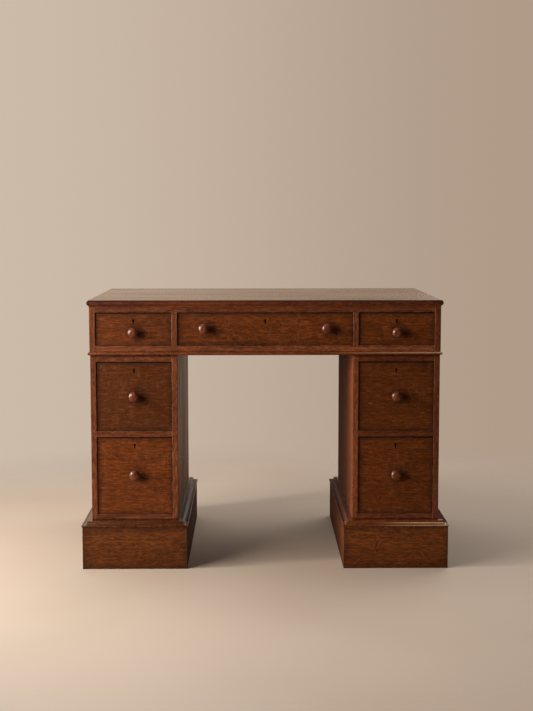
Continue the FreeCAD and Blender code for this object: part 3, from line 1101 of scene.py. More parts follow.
@dataclass
class DeskTop:
    """The top board with its rounded nose over a small cove."""

    finishes: Finishes
    overhang: float = 6.0 * MM
    rounding: float = 1.5 * MM
    cove_height: float = 4.5 * MM
    cove_foot: float = 0.6 * MM
    cove_reach: float = 2.6 * MM
    nose_middle_share: float = 0.42
    lower_nose_shares: Point = (0.78, 0.36)
    cove_shares: Point = (0.25, 0.72)
    arc_steps: int = 8
    crease: float = 0.5
    streak_scale: float = 16.0
    rim_drop: float = 0.3 * MM
    arris_drop: float = 4.5 * MM
    lower_edge: Point = (9.0 * MM, 6.0 * MM)
    end_width: Point = (12.0 * MM, 5.0 * MM)
    edge_tint: Triple = (0.80, 0.46, 0.08)
    edge_rough: float = 0.95
    # Painted shade on the left of the nose and painted light on its right.
    left_nose_shade: Triple = (0.64, 0.54, 0.38)
    left_reach: Point = (-0.10, -0.45)
    right_nose_light: Triple = (1.2, 1.16, 1.1)
    right_reach: Point = (0.20, 0.45)
    # Painted light on the lower nose and painted shade on its upper rounding.
    lower_nose_light: Triple = (1.35, 1.35, 1.3)
    arris_shade: Triple = (0.46, 0.34, 0.24)
    end_tint: Triple = (0.58, 0.54, 0.50)

    def profile(self, thickness: float) -> list[Point]:
        """The edge's points from the underside up to the flat of the top.

        Args:
            thickness: The board's thickness.

        Returns:
            The points, as the distance outward from the frieze and up.
        """
        nose_middle = self.cove_height + (thickness - self.cove_height) * self.nose_middle_share
        round_width = self.overhang + self.rounding
        round_height = thickness - nose_middle
        foot = (self.cove_foot, 0.0)
        cove = (self.cove_foot + (self.cove_reach - self.cove_foot) * self.cove_shares[0],
                self.cove_height * self.cove_shares[1])
        throat = (self.cove_reach, self.cove_height)
        lower = (self.cove_reach + (self.overhang - self.cove_reach) * self.lower_nose_shares[0],
                 self.cove_height
                 + (nose_middle - self.cove_height) * self.lower_nose_shares[1])
        nose = (self.overhang, nose_middle)
        radius = (round_width ** 2 + round_height ** 2) / (2 * round_height)
        half_turn = atan2(round_width, radius - round_height) / 2
        upper = (radius * sin(half_turn) - self.rounding,
                 thickness - radius + radius * cos(half_turn))
        crown = (-self.rounding, thickness)
        return ([foot] + arc_through(foot, cove, throat, self.arc_steps)
                + arc_through(throat, lower, nose, self.arc_steps)
                + arc_through(nose, upper, crown, self.arc_steps))

    def zones(self, low: Triple, high: Triple) -> tuple[Zone, ...]:
        """Where the polish of the top's edge and ends is darker, paler or duller; some is painted
        light and shade.

        Args:
            low: The top's box's low corner.
            high: Its high corner.

        Returns:
            The zones.
        """
        rim = high[2] - self.rim_drop
        edge = Zone(2, rim, rim - self.rim_drop, self.edge_tint, least_rough=self.edge_rough,
                    coated=0.0)
        plain = replace(edge, least_rough=0.0, coated=1.0)
        lower = (low[2] + rise for rise in self.lower_edge)
        ends = (Zone(0, *(end + side * width for width in self.end_width), self.end_tint)
                for end, side in ((low[0], 1), (high[0], -1)))
        # The nose's painted shade and light: left, right, low down and along the upper rounding.
        return (edge, replace(plain, tint=self.left_nose_shade, limits=((0, *self.left_reach),)),
                replace(plain, tint=self.right_nose_light, limits=((0, *self.right_reach),)),
                Zone(2, *lower, self.lower_nose_light),
                replace(plain, tint=self.arris_shade, stop=high[2] - self.arris_drop), *ends)

    def build(self) -> None:
        """Make the top and its finish."""
        low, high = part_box("desk_top")
        plan = RingPlan((0.0, 0.0), high[0] - self.overhang, high[1] - self.overhang)
        work = bmesh.new()
        loops = plan.run(work, self.profile(high[2] - low[2]), low[2], closed=False)
        work.faces.new(loops[0][::-1])
        work.faces.new(loops[-1])
        oak = OakFinish("top_oak", self.finishes.top, Grain.SIDEWAYS, (Board.of("desk_top"),),
                        seed=3, streak_scale=self.streak_scale, rounded=False,
                        zones=self.zones(low, high)).build()
        finished("desk_top_board", work, oak, CARCASE, ["desk_top"], self.crease)


@dataclass
class Knob:
    """A turned wooden knob: a foot, a waist and a domed head."""

    radius: float = 14.5 * MM
    projection: float = 29.0 * MM
    foot_sink: float = 0.3 * MM
    sides: int = 48
    steps: int = 5
    outline_shares: tuple[Point, ...] = (
        (0.645, 0.0), (0.66, 0.02), (0.66, 0.055), (0.60, 0.085), (0.47, 0.16), (0.43, 0.25),
        (0.50, 0.37), (0.70, 0.455), (0.90, 0.535), (0.985, 0.62), (1.0, 0.69), (0.965, 0.79),
        (0.86, 0.88), (0.66, 0.95), (0.36, 0.99), (0.0, 1.0))

    def outline(self) -> list[Point]:
        """A smooth curve through the outline's points.

        Returns:
            Points as the radius and the distance forward, from the foot to the tip.
        """
        ends = [self.outline_shares[0], *self.outline_shares, (-0.36, 0.99)]
        points = []
        for before, here, there, after in zip(ends, ends[1:], ends[2:], ends[3:]):
            for step in range(self.steps):
                t = step / self.steps
                points.append(tuple(
                    (2 * b + (c - a) * t + (2 * a - 5 * b + 4 * c - d) * t * t
                     + (3 * b - a - 3 * c + d) * t ** 3) / 2
                    for a, b, c, d in zip(before, here, there, after)))
        return [(max(share, 0.0) * self.radius, out * self.projection) for share, out in points]

    def turn(self, work: bmesh.types.BMesh, face: Vector) -> None:
        """Turn one knob into a mesh.

        Args:
            work: The mesh that it goes in.
            face: The middle of its foot, on the drawer front's face.
        """
        stations = [(0.0, -self.foot_sink), *self.outline(), (0.0, self.projection)]
        skin(work, [[work.verts.new((face[0] + side, face[1] - out, face[2] + up))
                     for side, up in ring(radius, self.sides)] for radius, out in stations])


@dataclass
class KeyholeLiner:
    """The thin brass rim let in round a keyhole."""

    height: float = 12.5 * MM
    head_radius: float = 2.6 * MM
    slot_half: float = 1.5 * MM
    rim: float = 0.55 * MM
    lip: float = 0.10 * MM
    depth: float = 2.0 * MM
    arc_steps: int = 20

    def outline(self, offset: float) -> list[Point]:
        """The keyhole's outline, grown by an offset.

        Args:
            offset: How far outside the keyhole the outline lies.

        Returns:
            Points as the distance right and up from the keyhole's middle.
        """
        head = self.head_radius + offset
        slot = self.slot_half + offset
        head_up = self.height / 2 - self.head_radius
        low = asin(slot / head)
        points = [(-slot, -self.height / 2 - offset)]
        for step in range(self.arc_steps + 1):
            turn = low + (2 * pi - 2 * low) * step / self.arc_steps
            points.append((-head * sin(turn), head_up - head * cos(turn)))
        points.append((slot, -self.height / 2 - offset))
        return points

    def cut(self, work: bmesh.types.BMesh, middle: Vector) -> None:
        """Make one liner.

        Args:
            work: The mesh that it goes in.
            middle: The keyhole's middle, on the drawer front's face.
        """
        section = [(self.rim, self.depth), (self.rim, 0.0), (self.rim - self.lip, -self.lip),
                   (0.0, -self.lip), (-self.lip, 0.0), (-self.lip, self.depth)]
        loops = [[work.verts.new((middle[0] + x, middle[1] + back, middle[2] + z))
                  for x, z in self.outline(offset)] for offset, back in section]
        skin(work, loops, closed=True)


@dataclass
class SlottedScrew:
    """A flat-headed screw with a slot across its head."""

    radius: float = 2.6 * MM
    slot_half: float = 0.35 * MM
    slot_depth: float = 0.5 * MM
    proud: float = 0.15 * MM
    sunk: float = 0.8 * MM
    bevel: float = 0.2 * MM
    hair: float = 0.001 * MM
    sides: int = 20

    def drive(self, work: bmesh.types.BMesh, place: Matrix, slot_turn: float) -> None:
        """Make one screw head.

        Args:
            work: The mesh that it goes in.
            place: Puts the head's plane, which faces +Z, on its seat.
            slot_turn: The angle that its slot is left at.
        """
        head = bmesh.new()
        levels = [(self.radius, -self.sunk), (self.radius, self.proud - self.bevel),
                  (self.radius - self.bevel, self.proud)]
        rings = [[head.verts.new((x, y, height)) for x, y in ring(radius, self.sides)]
                 for radius, height in levels]
        skin(head, rings)
        head.faces.new(rings[0][::-1])
        head.faces.new(rings[-1])
        top = self.proud - self.hair
        for edge in (-self.slot_half, self.slot_half):
            flat = [face for face in head.faces if face.calc_center_median().z > top]
            parts = flat + list({part for face in flat for part in (*face.edges, *face.verts)})
            bmesh.ops.bisect_plane(head, geom=parts, plane_co=(0, edge, 0), plane_no=(0, 1, 0),
                                   dist=self.hair / 10)
        face = min((face for face in head.faces if face.calc_center_median().z > top),
                   key=lambda part: abs(part.calc_center_median().y))
        grown = bmesh.ops.extrude_face_region(head, geom=[face])
        moved = [part for part in grown["geom"] if isinstance(part, bmesh.types.BMVert)]
        bmesh.ops.translate(head, verts=moved, vec=(0, 0, -self.slot_depth))
        if face.is_valid:
            bmesh.ops.delete(head, geom=[face], context="FACES_ONLY")
        head.transform(place @ Matrix.Rotation(slot_turn, 4, "Z"))
        mesh = bpy.data.meshes.new("screw_head")
        head.to_mesh(mesh)
        head.free()
        work.from_mesh(mesh)
        bpy.data.meshes.remove(mesh)


@dataclass
class Drawer:
    """One drawer: its front, box, lock and bolt, dressed, with knobs, liner and screws added."""

    finishes: Finishes
    name: str
    seed: int
    knob_places: tuple[float, ...] = (0.0,)
    shade: float = 0.0
    front_thickness: float = 20.0 * MM
    plate_screw_side: float = 23.0 * MM
    plate_screw_drops: Point = (6.0 * MM, 35.0 * MM)
    selvedge_screw_side: float = 21.0 * MM
    selvedge_screw_inset: float = 6.0 * MM
    first_slot_turn: float = 0.4
    next_slot_turn: float = 1.1
    keyhole_drop: float = 24.5 * MM
    polish_depth: float = 2.0 * MM
    # Where each painted knob shadow lies from the knob's middle: to the right and down.
    knob_shadow_shift: Point = (9.0 * MM, -2.0 * MM)
    # Painted shadow of the rail above: a dark band this far below the front's top edge, and how
    # much colour it leaves.
    gap_shadow_drop: Point = (2.8 * MM, 1.6 * MM)
    gap_shadow: float = 0.15

    @property
    def knob_node(self) -> str:
        """The name of the node of the drawer's knob or knobs."""
        return self.name + ("_knobs" if len(self.knob_places) > 1 else "_knob")

    def knobs(self, middle: float, face: float) -> None:
        """Turn the drawer's knobs.

        Args:
            middle: The drawer's middle along X.
            face: The front's face along Y.
        """
        low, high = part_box(self.knob_node)
        work = bmesh.new()
        for place in self.knob_places:
            Knob().turn(work, Vector((middle + place, face, (low[2] + high[2]) / 2)))
        finished(self.knob_node.replace("_knob", "_turned_knob"), work, self.finishes.knob,
                 self.name, [self.knob_node])

    def liner(self, middle: float, face: float, top: float) -> None:
        """Let the brass rim in round the keyhole.

        Args:
            middle: The drawer's middle along X.
            face: The front's face along Y.
            top: The height of the front's top edge.
        """
        work = bmesh.new()
        KeyholeLiner().cut(work, Vector((middle, face, top - self.keyhole_drop)))
        finished(self.name + "_keyhole_liner", work, self.finishes.black_brass, self.name)

    def screws(self, middle: float, face: float, top: float) -> None:
        """Drive the lock's screws: four in its plate and two in its selvedge.

        Args:
            middle: The drawer's middle along X.
            face: The front's face along Y.
            top: The height of the front's top edge.
        """
        work = bmesh.new()
        back = face + self.front_thickness
        to_back = Matrix.Rotation(-pi / 2, 4, "X")
        turn = self.first_slot_turn * self.seed
        for side in (-1, 1):
            for drop in self.plate_screw_drops:
                seat = Vector((middle + side * self.plate_screw_side, back, top - drop))
                SlottedScrew().drive(work, Matrix.Translation(seat) @ to_back, turn)
                turn += self.next_slot_turn
            seat = Vector((middle + side * self.selvedge_screw_side,
                           back - self.selvedge_screw_inset, top))
            SlottedScrew().drive(work, Matrix.Translation(seat), turn)
        finished(self.name + "_lock_screws", work, self.finishes.brass, self.name)

    def build(self) -> None:
        """Dress the drawer's nodes and add its pieces."""
        low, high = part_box(self.name + "_front")
        middle = (low[0] + high[0]) / 2
        knob_low, knob_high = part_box(self.knob_node)
        # The painted knob shadow lies to the right of and below each knob.
        knob_shadow_height = (knob_low[2] + knob_high[2]) / 2 + self.knob_shadow_shift[1]
        # Painted shadow of the rail across the top of the front.
        gap_shadow_zone = Zone(2, *(high[2] - drop for drop in self.gap_shadow_drop), (self.gap_shadow,) * 3)
        dress_oak(self.name + "_front", self.finishes.front, Grain.SIDEWAYS, self.seed,
                  zones=(gap_shadow_zone,), shade=self.shade, raw_behind=low[1] + self.polish_depth,
                  keyhole=(middle, low[1], high[2] - self.keyhole_drop),
                  handled=tuple((middle + place + self.knob_shadow_shift[0], low[1], knob_shadow_height)
                                for place in self.knob_places))
        dress(self.name + "_box", self.finishes.lining_wood)
        dress(self.name + "_lock", self.finishes.lock)
        dress(self.name + "_bolt", self.finishes.steel)
        self.knobs(middle, low[1])
        self.liner(middle, low[1], high[2])
        self.screws(middle, low[1], high[2])


@dataclass
class Frieze:
    """The section under the top: its frame, the bead round its foot, and three drawers."""

    finishes: Finishes
    top_gap: float = 1.5 * MM
    seat_gap: float = 0.3 * MM
    side_gap: float = 1.0 * MM
    bead_flat: float = 0.55 * MM
    arc_steps: int = 10
    knob_spacing: float = 345.4 * MM
    # How much colour the painted rail shadow leaves on each frieze drawer.
    gap_shadows: Triple = (0.15, 0.45, 0.20)
    # Painted highlight on the bead: its reach along X, its heights as shares, and its cover.
    highlight_reach: Point = (0.12, 0.56)
    highlight_shares: Point = (0.45, 0.6)
    highlight_cover: float = 0.6
    bead_colours: tuple[Paint, Paint] = (tone(84, 40, 15), tone(148, 77, 38))
    # Painted shadow of the top's nose on the top rail.
    top_rail_shadow: Triple = (0.75, 0.73, 0.69)
    # A dark band on the rail just above the bead: painted shadow.
    dark_band_rise: Point = (3.2 * MM, 2.2 * MM)
    dark_band_tint: Triple = (0.58, 0.54, 0.48)
    # Painted light on the lower rail, rising towards the right.
    bright_reach: Point = (-0.05, 0.36)
    lower_rail_light: Triple = (1.22, 1.22, 1.18)
    # Painted shade on the frieze's right side; the left keeps its colour.
    side_shades: tuple[Triple, Triple] = ((1.0, 1.0, 1.0), (0.84, 0.81, 0.76))

    def bead(self) -> None:
        """Run the half-round bead round the foot of the frieze."""
        low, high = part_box("frieze_bead")
        shell = Board.of("frieze_side_left", "frieze_side_right")
        reach, tall = high[0] - shell.high[0], high[2] - low[2]
        plan = RingPlan((0.0, 0.0), shell.high[0], (shell.high[1] - shell.low[1]) / 2)
        profile = [(0.0, 0.0), (self.bead_flat, 0.0)]
        profile += arc_through(profile[-1], (reach, tall / 2), (self.bead_flat, tall),
                               self.arc_steps)
        profile.append((0.0, tall))
        work = bmesh.new()
        plan.run(work, profile, low[2], closed=True)
        dark, light = self.bead_colours
        # Painted highlight along the upper part of the bead, towards the right.
        rubbed = Zone(2, *(low[2] + share * tall for share in self.highlight_shares),
                      self.finishes.highlight_colour, cover=self.highlight_cover,
                      limits=((0, *self.highlight_reach), (1, low[1] + 2 * reach, low[1] + reach)))
        oak = OakFinish("bead_oak", replace(self.finishes.moulded, dark=dark, light=light),
                        Grain.SIDEWAYS, (Board.of("frieze_bead"),), 5, turn=Turn.MITRES,
                        rounded=False, zones=(rubbed,)).build()
        finished("frieze_bead_run", work, oak, CARCASE, ["frieze_bead"],
                 plan.crease)

    def rails(self) -> None:
        """Dress the top and bottom rails."""
        front_low, front_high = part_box("frieze_centre_drawer_front")
        rails = Board.of("frieze_rails")
        upper = rails.between(front_high[2] + self.top_gap, rails.high[2])
        lower = rails.between(rails.low[2], front_low[2] - self.seat_gap)
        bead_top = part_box("frieze_bead")[1][2]
        # Painted shadow on the top rail and above the bead, and painted light on the lower rail.
        zones = (Zone(2, upper.low[2] - MM, upper.low[2], self.top_rail_shadow),
                 Zone(2, *(bead_top + rise for rise in self.dark_band_rise), self.dark_band_tint),
                 Zone(0, *self.bright_reach, self.lower_rail_light,
                      limits=((2, lower.high[2] + MM, lower.high[2]),)))
        dress_oak("frieze_rails", self.finishes.rail, Grain.SIDEWAYS, 7, (upper, lower),
                  zones=zones, lean=RAIL_LEAN)

    def dividers(self) -> None:
        """Dress the uprights between the drawers."""
        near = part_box("frieze_centre_drawer_front")[1][0] + self.side_gap
        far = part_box("frieze_right_drawer_front")[0][0] - self.side_gap
        box = Board.of("frieze_dividers")
        uprights = tuple(Board((low, *box.low[1:]), (high, *box.high[1:]))
                         for low, high in ((-far, -near), (near, far)))
        dress_oak("frieze_dividers", self.finishes.stile, Grain.UPRIGHT, 9, uprights)

    def boards(self) -> None:
        """Dress the sides, the back and the boards inside."""
        for step, side in enumerate(("left", "right")):
            # The right side takes painted shade by its tint.
            dress_oak("frieze_side_" + side, self.finishes.stile, Grain.DEEP, 11 + step,
                      turn=Turn.FRONT_EDGE, tint=self.side_shades[step])
        dress_oak("frieze_back", self.finishes.side, Grain.SIDEWAYS, 13)
        for node in ("frieze_runners", "locating_blocks"):
            dress(node, self.finishes.lining_wood)

    def build(self) -> None:
        """Dress the frieze, run its bead and build its drawers."""
        self.rails()
        self.dividers()
        self.boards()
        self.bead()
        half = self.knob_spacing / 2
        for step, (place, knobs) in enumerate((("left", (0.0,)), ("centre", (-half, half)),
                                               ("right", (0.0,)))):
            Drawer(self.finishes, f"frieze_{place}_drawer", 15 + step, knobs,
                   gap_shadow=self.gap_shadows[step]).build()


@dataclass(frozen=True)
class PedestalWearAndLight:
    """How one pedestal's polish has aged, and its painted light and shade, where the two differ.

    Painted highlight lines fade in along X.
    The crack's middle is a place along X and Z on the plinth.
    """

    drawer_shades: Point
    # Raises the plinth's light colour by this share, as painted light.
    plinth_lightening: float
    # Painted shade on the upper two rails.
    upper_rail_shade: Triple
    # The moulding's painted light and shade: below one darkens it, above one lightens it.
    moulding_light_and_shade: Triple
    # The painted shadow of the moulding's nose, along the plinth's top.
    plinth_shadow_tint: Triple
    inner_rough: float = 0.46
    # Painted shade on the outer side.
    outer_side_shade: Triple = (1.0, 1.0, 1.0)
    # Painted light on the upper part of the kneehole side.
    inner_top_light: Triple | None = None
    # Painted shade on the moulding's outer return, at the front and further back.
    outer_moulding_shades: tuple[Triple, ...] = ()
    # Where the painted highlight lines run along X.
    highlight_reach: Point | None = None
    crack: Point | None = None


@dataclass
class Pedestal:
    """One pedestal: its boards and rails, its plinth with the moulding, and two drawers."""

    finishes: Finishes
    name: str
    seed: int
    wear: PedestalWearAndLight
    top_gap: float = 1.5 * MM
    seat_gap: float = 0.3 * MM
    bottom_rail: float = 40.0 * MM
    moulding_flat: float = 12.5 * MM
    moulding_shoulder: float = 1.6 * MM
    cove_inset: float = 1.1 * MM
    fillet_height: float = 2.8 * MM
    nose_height: float = 4.6 * MM
    cove_sag_share: float = 0.30
    arc_steps: int = 10
    dull_width: float = 24.0 * MM
    dull_skin: float = 1.5 * MM
    dull_uneven: float = 0.8
    dull_ramp: float = 0.2
    # Painted shade on the kneehole faces: its colour cast, and how it scales the moulding, inner
    # side and plinth.
    kneehole_shade_cast: Triple = (1.0, 0.95, 0.90)
    moulding_shade: float = 0.7
    inner_shade: float = 1.1
    plinth_shade: float = 0.80
    moulding_dull_start: Point = (0.5 * MM, 1.0 * MM)
    dull_moulding_rough: float = 0.95
    # Painted highlight lines on the moulding: where each starts and stops above its foot, and its
    # cover.
    highlight_lines: tuple[Triple, ...] = ((9.1 * MM, 11.3 * MM, 0.95), (4.2 * MM, 6.4 * MM, 0.6))
    highlight_ramp: float = 0.6 * MM
    # Painted shadow under the frieze's bead, and a dark line just above the moulding.
    bead_shadow_drop: Point = (8.0 * MM, 3.0 * MM)
    dark_band_rise: Point = (6.0 * MM, 3.5 * MM)
    dark_band_tint: Triple = (0.45, 0.42, 0.38)
    bottom_rail_tint: Triple = (0.74, 0.71, 0.68)
    # Painted shadow on the kneehole side: it starts this far behind the front, fades in over the
    # next length, and leaves this much colour.
    inner_light: float = 120.0 * MM
    inner_fade: float = 160.0 * MM
    inner_back_shadow: Triple = (0.62, 0.60, 0.58)
    inner_streaks: float = 14.0
    edge_ramp: float = 0.1 * MM
    edge_tint: Triple = (1.2, 1.18, 1.12)
    # Heights over which painted light rises on the upper kneehole side.
    inner_top_heights: Point = (0.40, 0.56)
    # The plinth darkens towards the floor below this height.
    foot_dark_height: float = 85.0 * MM
    foot_dark_tint: Triple = (0.72, 0.70, 0.64)
    # The painted shadow of the moulding's nose along the plinth's top.
    plinth_shadow_drop: Point = (4.0 * MM, 2.0 * MM)
    plinth_rough: float = 0.95

    def dull(self, board: Board, skin_depth: float, shade: float, rough: float) -> Zone:
        """The kneehole's faces behind a board's front: flat polish, colour scaled by painted
        shade.

        Args:
            board: The board's box.
            skin_depth: How far behind its front the dull part starts.
            shade: How much the painted shade scales its colour, with a little less of green and
                blue.
            rough: Its least roughness.

        Returns:
            The zone.
        """
        inner, outward = (board.low[0], 1) if board.low[0] > 0.0 else (board.high[0], -1)
        edge = inner + outward * self.dull_width
        start = board.low[1] + skin_depth
        tint = tuple(part * shade for part in self.kneehole_shade_cast)
        return Zone(1, start, start + self.dull_ramp * skin_depth, tint, least_rough=rough,
                    coated=0.0, uneven=self.dull_uneven,
                    limits=((0, edge + outward * MM, edge),))

    def profile(self, thick: float, reach: float, tall: float) -> list[Point]:
        """The moulding's points: a fillet, a rounded nose, a cove and a flat.

        Args:
            thick: The plinth board's thickness.
            reach: How far the nose reaches out from the pedestal.
            tall: The moulding's height.

        Returns:
            The points, as the distance outward from the pedestal and up.
        """
        shoulder = (self.moulding_flat + self.moulding_shoulder, tall - self.moulding_shoulder)
        foot = (thick, self.fillet_height)
        cove_end = (thick - self.cove_inset, self.fillet_height + self.nose_height)
        sag = (cove_end[0] - shoulder[0]) * self.cove_sag_share
        cove = ((shoulder[0] + cove_end[0]) / 2 - sag, (shoulder[1] + cove_end[1]) / 2 - sag)
        nose = (reach, (cove_end[1] + foot[1]) / 2)
        return [(0.0, 0.0), (thick, 0.0), foot, *arc_through(foot, nose, cove_end, self.arc_steps),
                *arc_through(cove_end, cove, shoulder, self.arc_steps),
                (self.moulding_flat, tall), (0.0, tall)]

    def moulding_zones(self, board: Board, shell: Board, reach: float) -> tuple[Zone, ...]:
        """Where the moulding's polish is dull and in painted shade, and where painted highlights
        run along it.

        Args:
            board: The moulding's box.
            shell: The box of the pedestal's sides.
            reach: How far the moulding reaches out from them.

        Returns:
            The zones.
        """
        low, front = board.low, board.low[1]
        depth = board.high[2] - low[2] + reach
        kneehole = -1 if low[0] > 0.0 else 1
        # The moulding's kneehole faces are dull and in painted shade.
        flat = self.dull(board, depth, self.moulding_shade, self.wear.inner_rough)
        start, end = (front + step for step in self.moulding_dull_start)
        zones = [flat, replace(flat, start=start, end=end, stop=front + depth, side=kneehole)]
        # Painted shade on the moulding's outer return, at the front and further back.
        if self.wear.outer_moulding_shades:
            near, back = self.wear.outer_moulding_shades
            outer = Zone(0, shell.high[0], shell.high[0] + MM, near, coated=0.0,
                         least_rough=self.dull_moulding_rough)
            zones += [replace(outer, side=-kneehole),
                      replace(outer, tint=back,
                              limits=((1, front + reach, front + reach + MM),))]
        # Painted highlight lines along the moulding, towards the right.
        if self.wear.highlight_reach is not None:
            limits = ((0, *self.wear.highlight_reach), (1, front + 2 * reach, front + reach))
            zones += [Zone(2, low[2] + base, low[2] + base + self.highlight_ramp,
                           self.finishes.highlight_colour, stop=low[2] + top, cover=cover,
                           limits=limits) for base, top, cover in self.highlight_lines]
        return tuple(zones)

    def moulding(self) -> None:
        """Run the moulding round the top of the plinth."""
        node = self.name + "_plinth_moulding"
        board, plinth = Board.of(node), Board.of(self.name + "_plinth")
        shell = Board.of(self.name + "_outer_side", self.name + "_inner_side")
        reach, tall = board.high[0] - shell.high[0], board.high[2] - board.low[2]
        plan = RingPlan(((board.low[0] + board.high[0]) / 2, 0.0),
                        (shell.high[0] - shell.low[0]) / 2, shell.high[1])
        work = bmesh.new()
        plan.run(work, self.profile(plinth.high[0] - shell.high[0], reach, tall), board.low[2],
                 closed=True)
        # The moulding's tint is painted light and shade: the left darkened, the right lightened.
        oak = OakFinish(self.name + "_moulding_oak", self.finishes.moulded, Grain.SIDEWAYS,
                        (board,), self.seed + 1, turn=Turn.MITRES, rounded=False,
                        tint=self.wear.moulding_light_and_shade,
                        zones=self.moulding_zones(board, shell, reach)).build()
        finished(node + "_run", work, oak, CARCASE, [node], plan.crease)

    def dark_bands(self) -> tuple[Zone, Zone]:
        """A dark line along the top of the moulding, and painted shadow under the frieze's bead.

        Returns:
            Both zones.
        """
        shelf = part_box(self.name + "_plinth_moulding")[1][2]
        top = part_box(self.name + "_rails")[1][2]
        return (Zone(2, *(shelf + rise for rise in self.dark_band_rise), self.dark_band_tint),
                Zone(2, *(top - drop for drop in self.bead_shadow_drop), self.dark_band_tint))

    def rails(self) -> None:
        """Dress the top, middle and bottom rails."""
        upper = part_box(self.name + "_upper_drawer_front")
        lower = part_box(self.name + "_lower_drawer_front")
        rails = Board.of(self.name + "_rails")
        lowest = lower[0][2] - self.seat_gap
        boards = (rails.between(upper[1][2] + self.top_gap, rails.high[2]),
                  rails.between(lower[1][2] + self.top_gap, upper[0][2] - self.seat_gap),
                  rails.between(lowest - self.bottom_rail, lowest))
        middle = boards[1].low[2]
        # The upper two rails get painted shade by their tint.
        zones = (Zone(2, lowest + MM, lowest, self.bottom_rail_tint),
                 Zone(2, middle - MM, middle, self.wear.upper_rail_shade), *self.dark_bands())
        dress_oak(self.name + "_rails", self.finishes.rail, Grain.SIDEWAYS, self.seed + 2,
                  boards, zones=zones, lean=RAIL_LEAN)

    def inner_side(self) -> None:
        """Dress the kneehole side: dull and in painted shade behind its front edge."""
        node = self.name + "_inner_side"
        board = Board.of(node)
        depth = board.low[1] + self.inner_light
        edge = board.low[1] + OakFinish.edge_skin
        # Behind its front edge the side is dull and in painted shade.
        dull = self.dull(board, self.dull_skin, self.inner_shade, self.wear.inner_rough)
        # Further back the side darkens as painted shadow.
        zones = (*self.dark_bands(), dull,
                 Zone(1, depth, depth + self.inner_fade, self.inner_back_shadow),
                 Zone(1, edge, edge - self.edge_ramp, self.edge_tint))
        # Painted light on the upper part of the side, behind its front edge.
        if self.wear.inner_top_light is not None:
            zones += (Zone(2, *self.inner_top_heights, self.wear.inner_top_light,
                           limits=((1, edge - self.edge_ramp, edge),)),)
        dress_oak(node, self.finishes.stile, Grain.UPRIGHT, self.seed + 4, zones=zones,
                  streak_scale=self.inner_streaks)

    def boards(self) -> None:
        """Dress the outer side, the back, and the boards and runners inside."""
        # The outer side takes painted shade by its tint.
        dress_oak(self.name + "_outer_side", self.finishes.stile, Grain.UPRIGHT, self.seed + 3,
                  zones=self.dark_bands(), tint=self.wear.outer_side_shade)
        dress_oak(self.name + "_back", self.finishes.side, Grain.UPRIGHT, self.seed + 5,
                  zones=self.dark_bands())
        for inside in ("_boards", "_runners"):
            dress(self.name + inside, self.finishes.lining_wood)

    def plinth(self) -> None:
        """Dress the plinth, which is darker towards its foot."""
        node = self.name + "_plinth"
        board = Board.of(node)
        # The plinth's light colour is raised as painted light, more on the right.
        light = tuple(part * (1.0 + self.wear.plinth_lightening)
                      for part in self.finishes.base.light[:3])
        # Painted shadow of the moulding's nose runs along the plinth's top.
        # The plinth's kneehole face is dull and in painted shade.
        zones = (self.dull(board, self.dull_skin, self.plinth_shade, self.plinth_rough),
                 Zone(2, self.foot_dark_height, 0.0, self.foot_dark_tint),
                 Zone(2, *(board.high[2] - drop for drop in self.plinth_shadow_drop),
                      self.wear.plinth_shadow_tint))
        crack = None
        if self.wear.crack is not None:
            crack = (self.wear.crack[0], board.low[1], self.wear.crack[1])
        dress_oak(node, replace(self.finishes.base, light=(*light, 1.0)), Grain.SIDEWAYS,
                  self.seed + 6, turn=Turn.MITRES, zones=zones, crack=crack)

    def build(self) -> None:
        """Dress the pedestal, run its moulding and build its drawers."""
        self.rails()
        self.inner_side()
        self.boards()
        self.plinth()
        self.moulding()
        for step, (place, shade) in enumerate(zip(("_upper_drawer", "_lower_drawer"),
                                                  self.wear.drawer_shades), 7):
            Drawer(self.finishes, self.name + place, self.seed + step, shade=shade).build()


@dataclass(frozen=True)
class Lamp:
    """A soft rectangular lamp that faces a point."""

    name: str
    place: Triple
    target: Triple
    size: Point
    watts: float
    colour: Triple

    def hang(self) -> None:
        """Put the lamp in the scene."""
        data = bpy.data.lights.new(self.name, "AREA")
        data.shape = "RECTANGLE"
        data.size, data.size_y = self.size
        data.energy = self.watts
        data.color = self.colour
        lamp = put(self.name, data)
        lamp.location = self.place
        aim = Vector(self.target) - Vector(self.place)
        lamp.rotation_euler = aim.to_track_quat("-Z", "Y").to_euler()


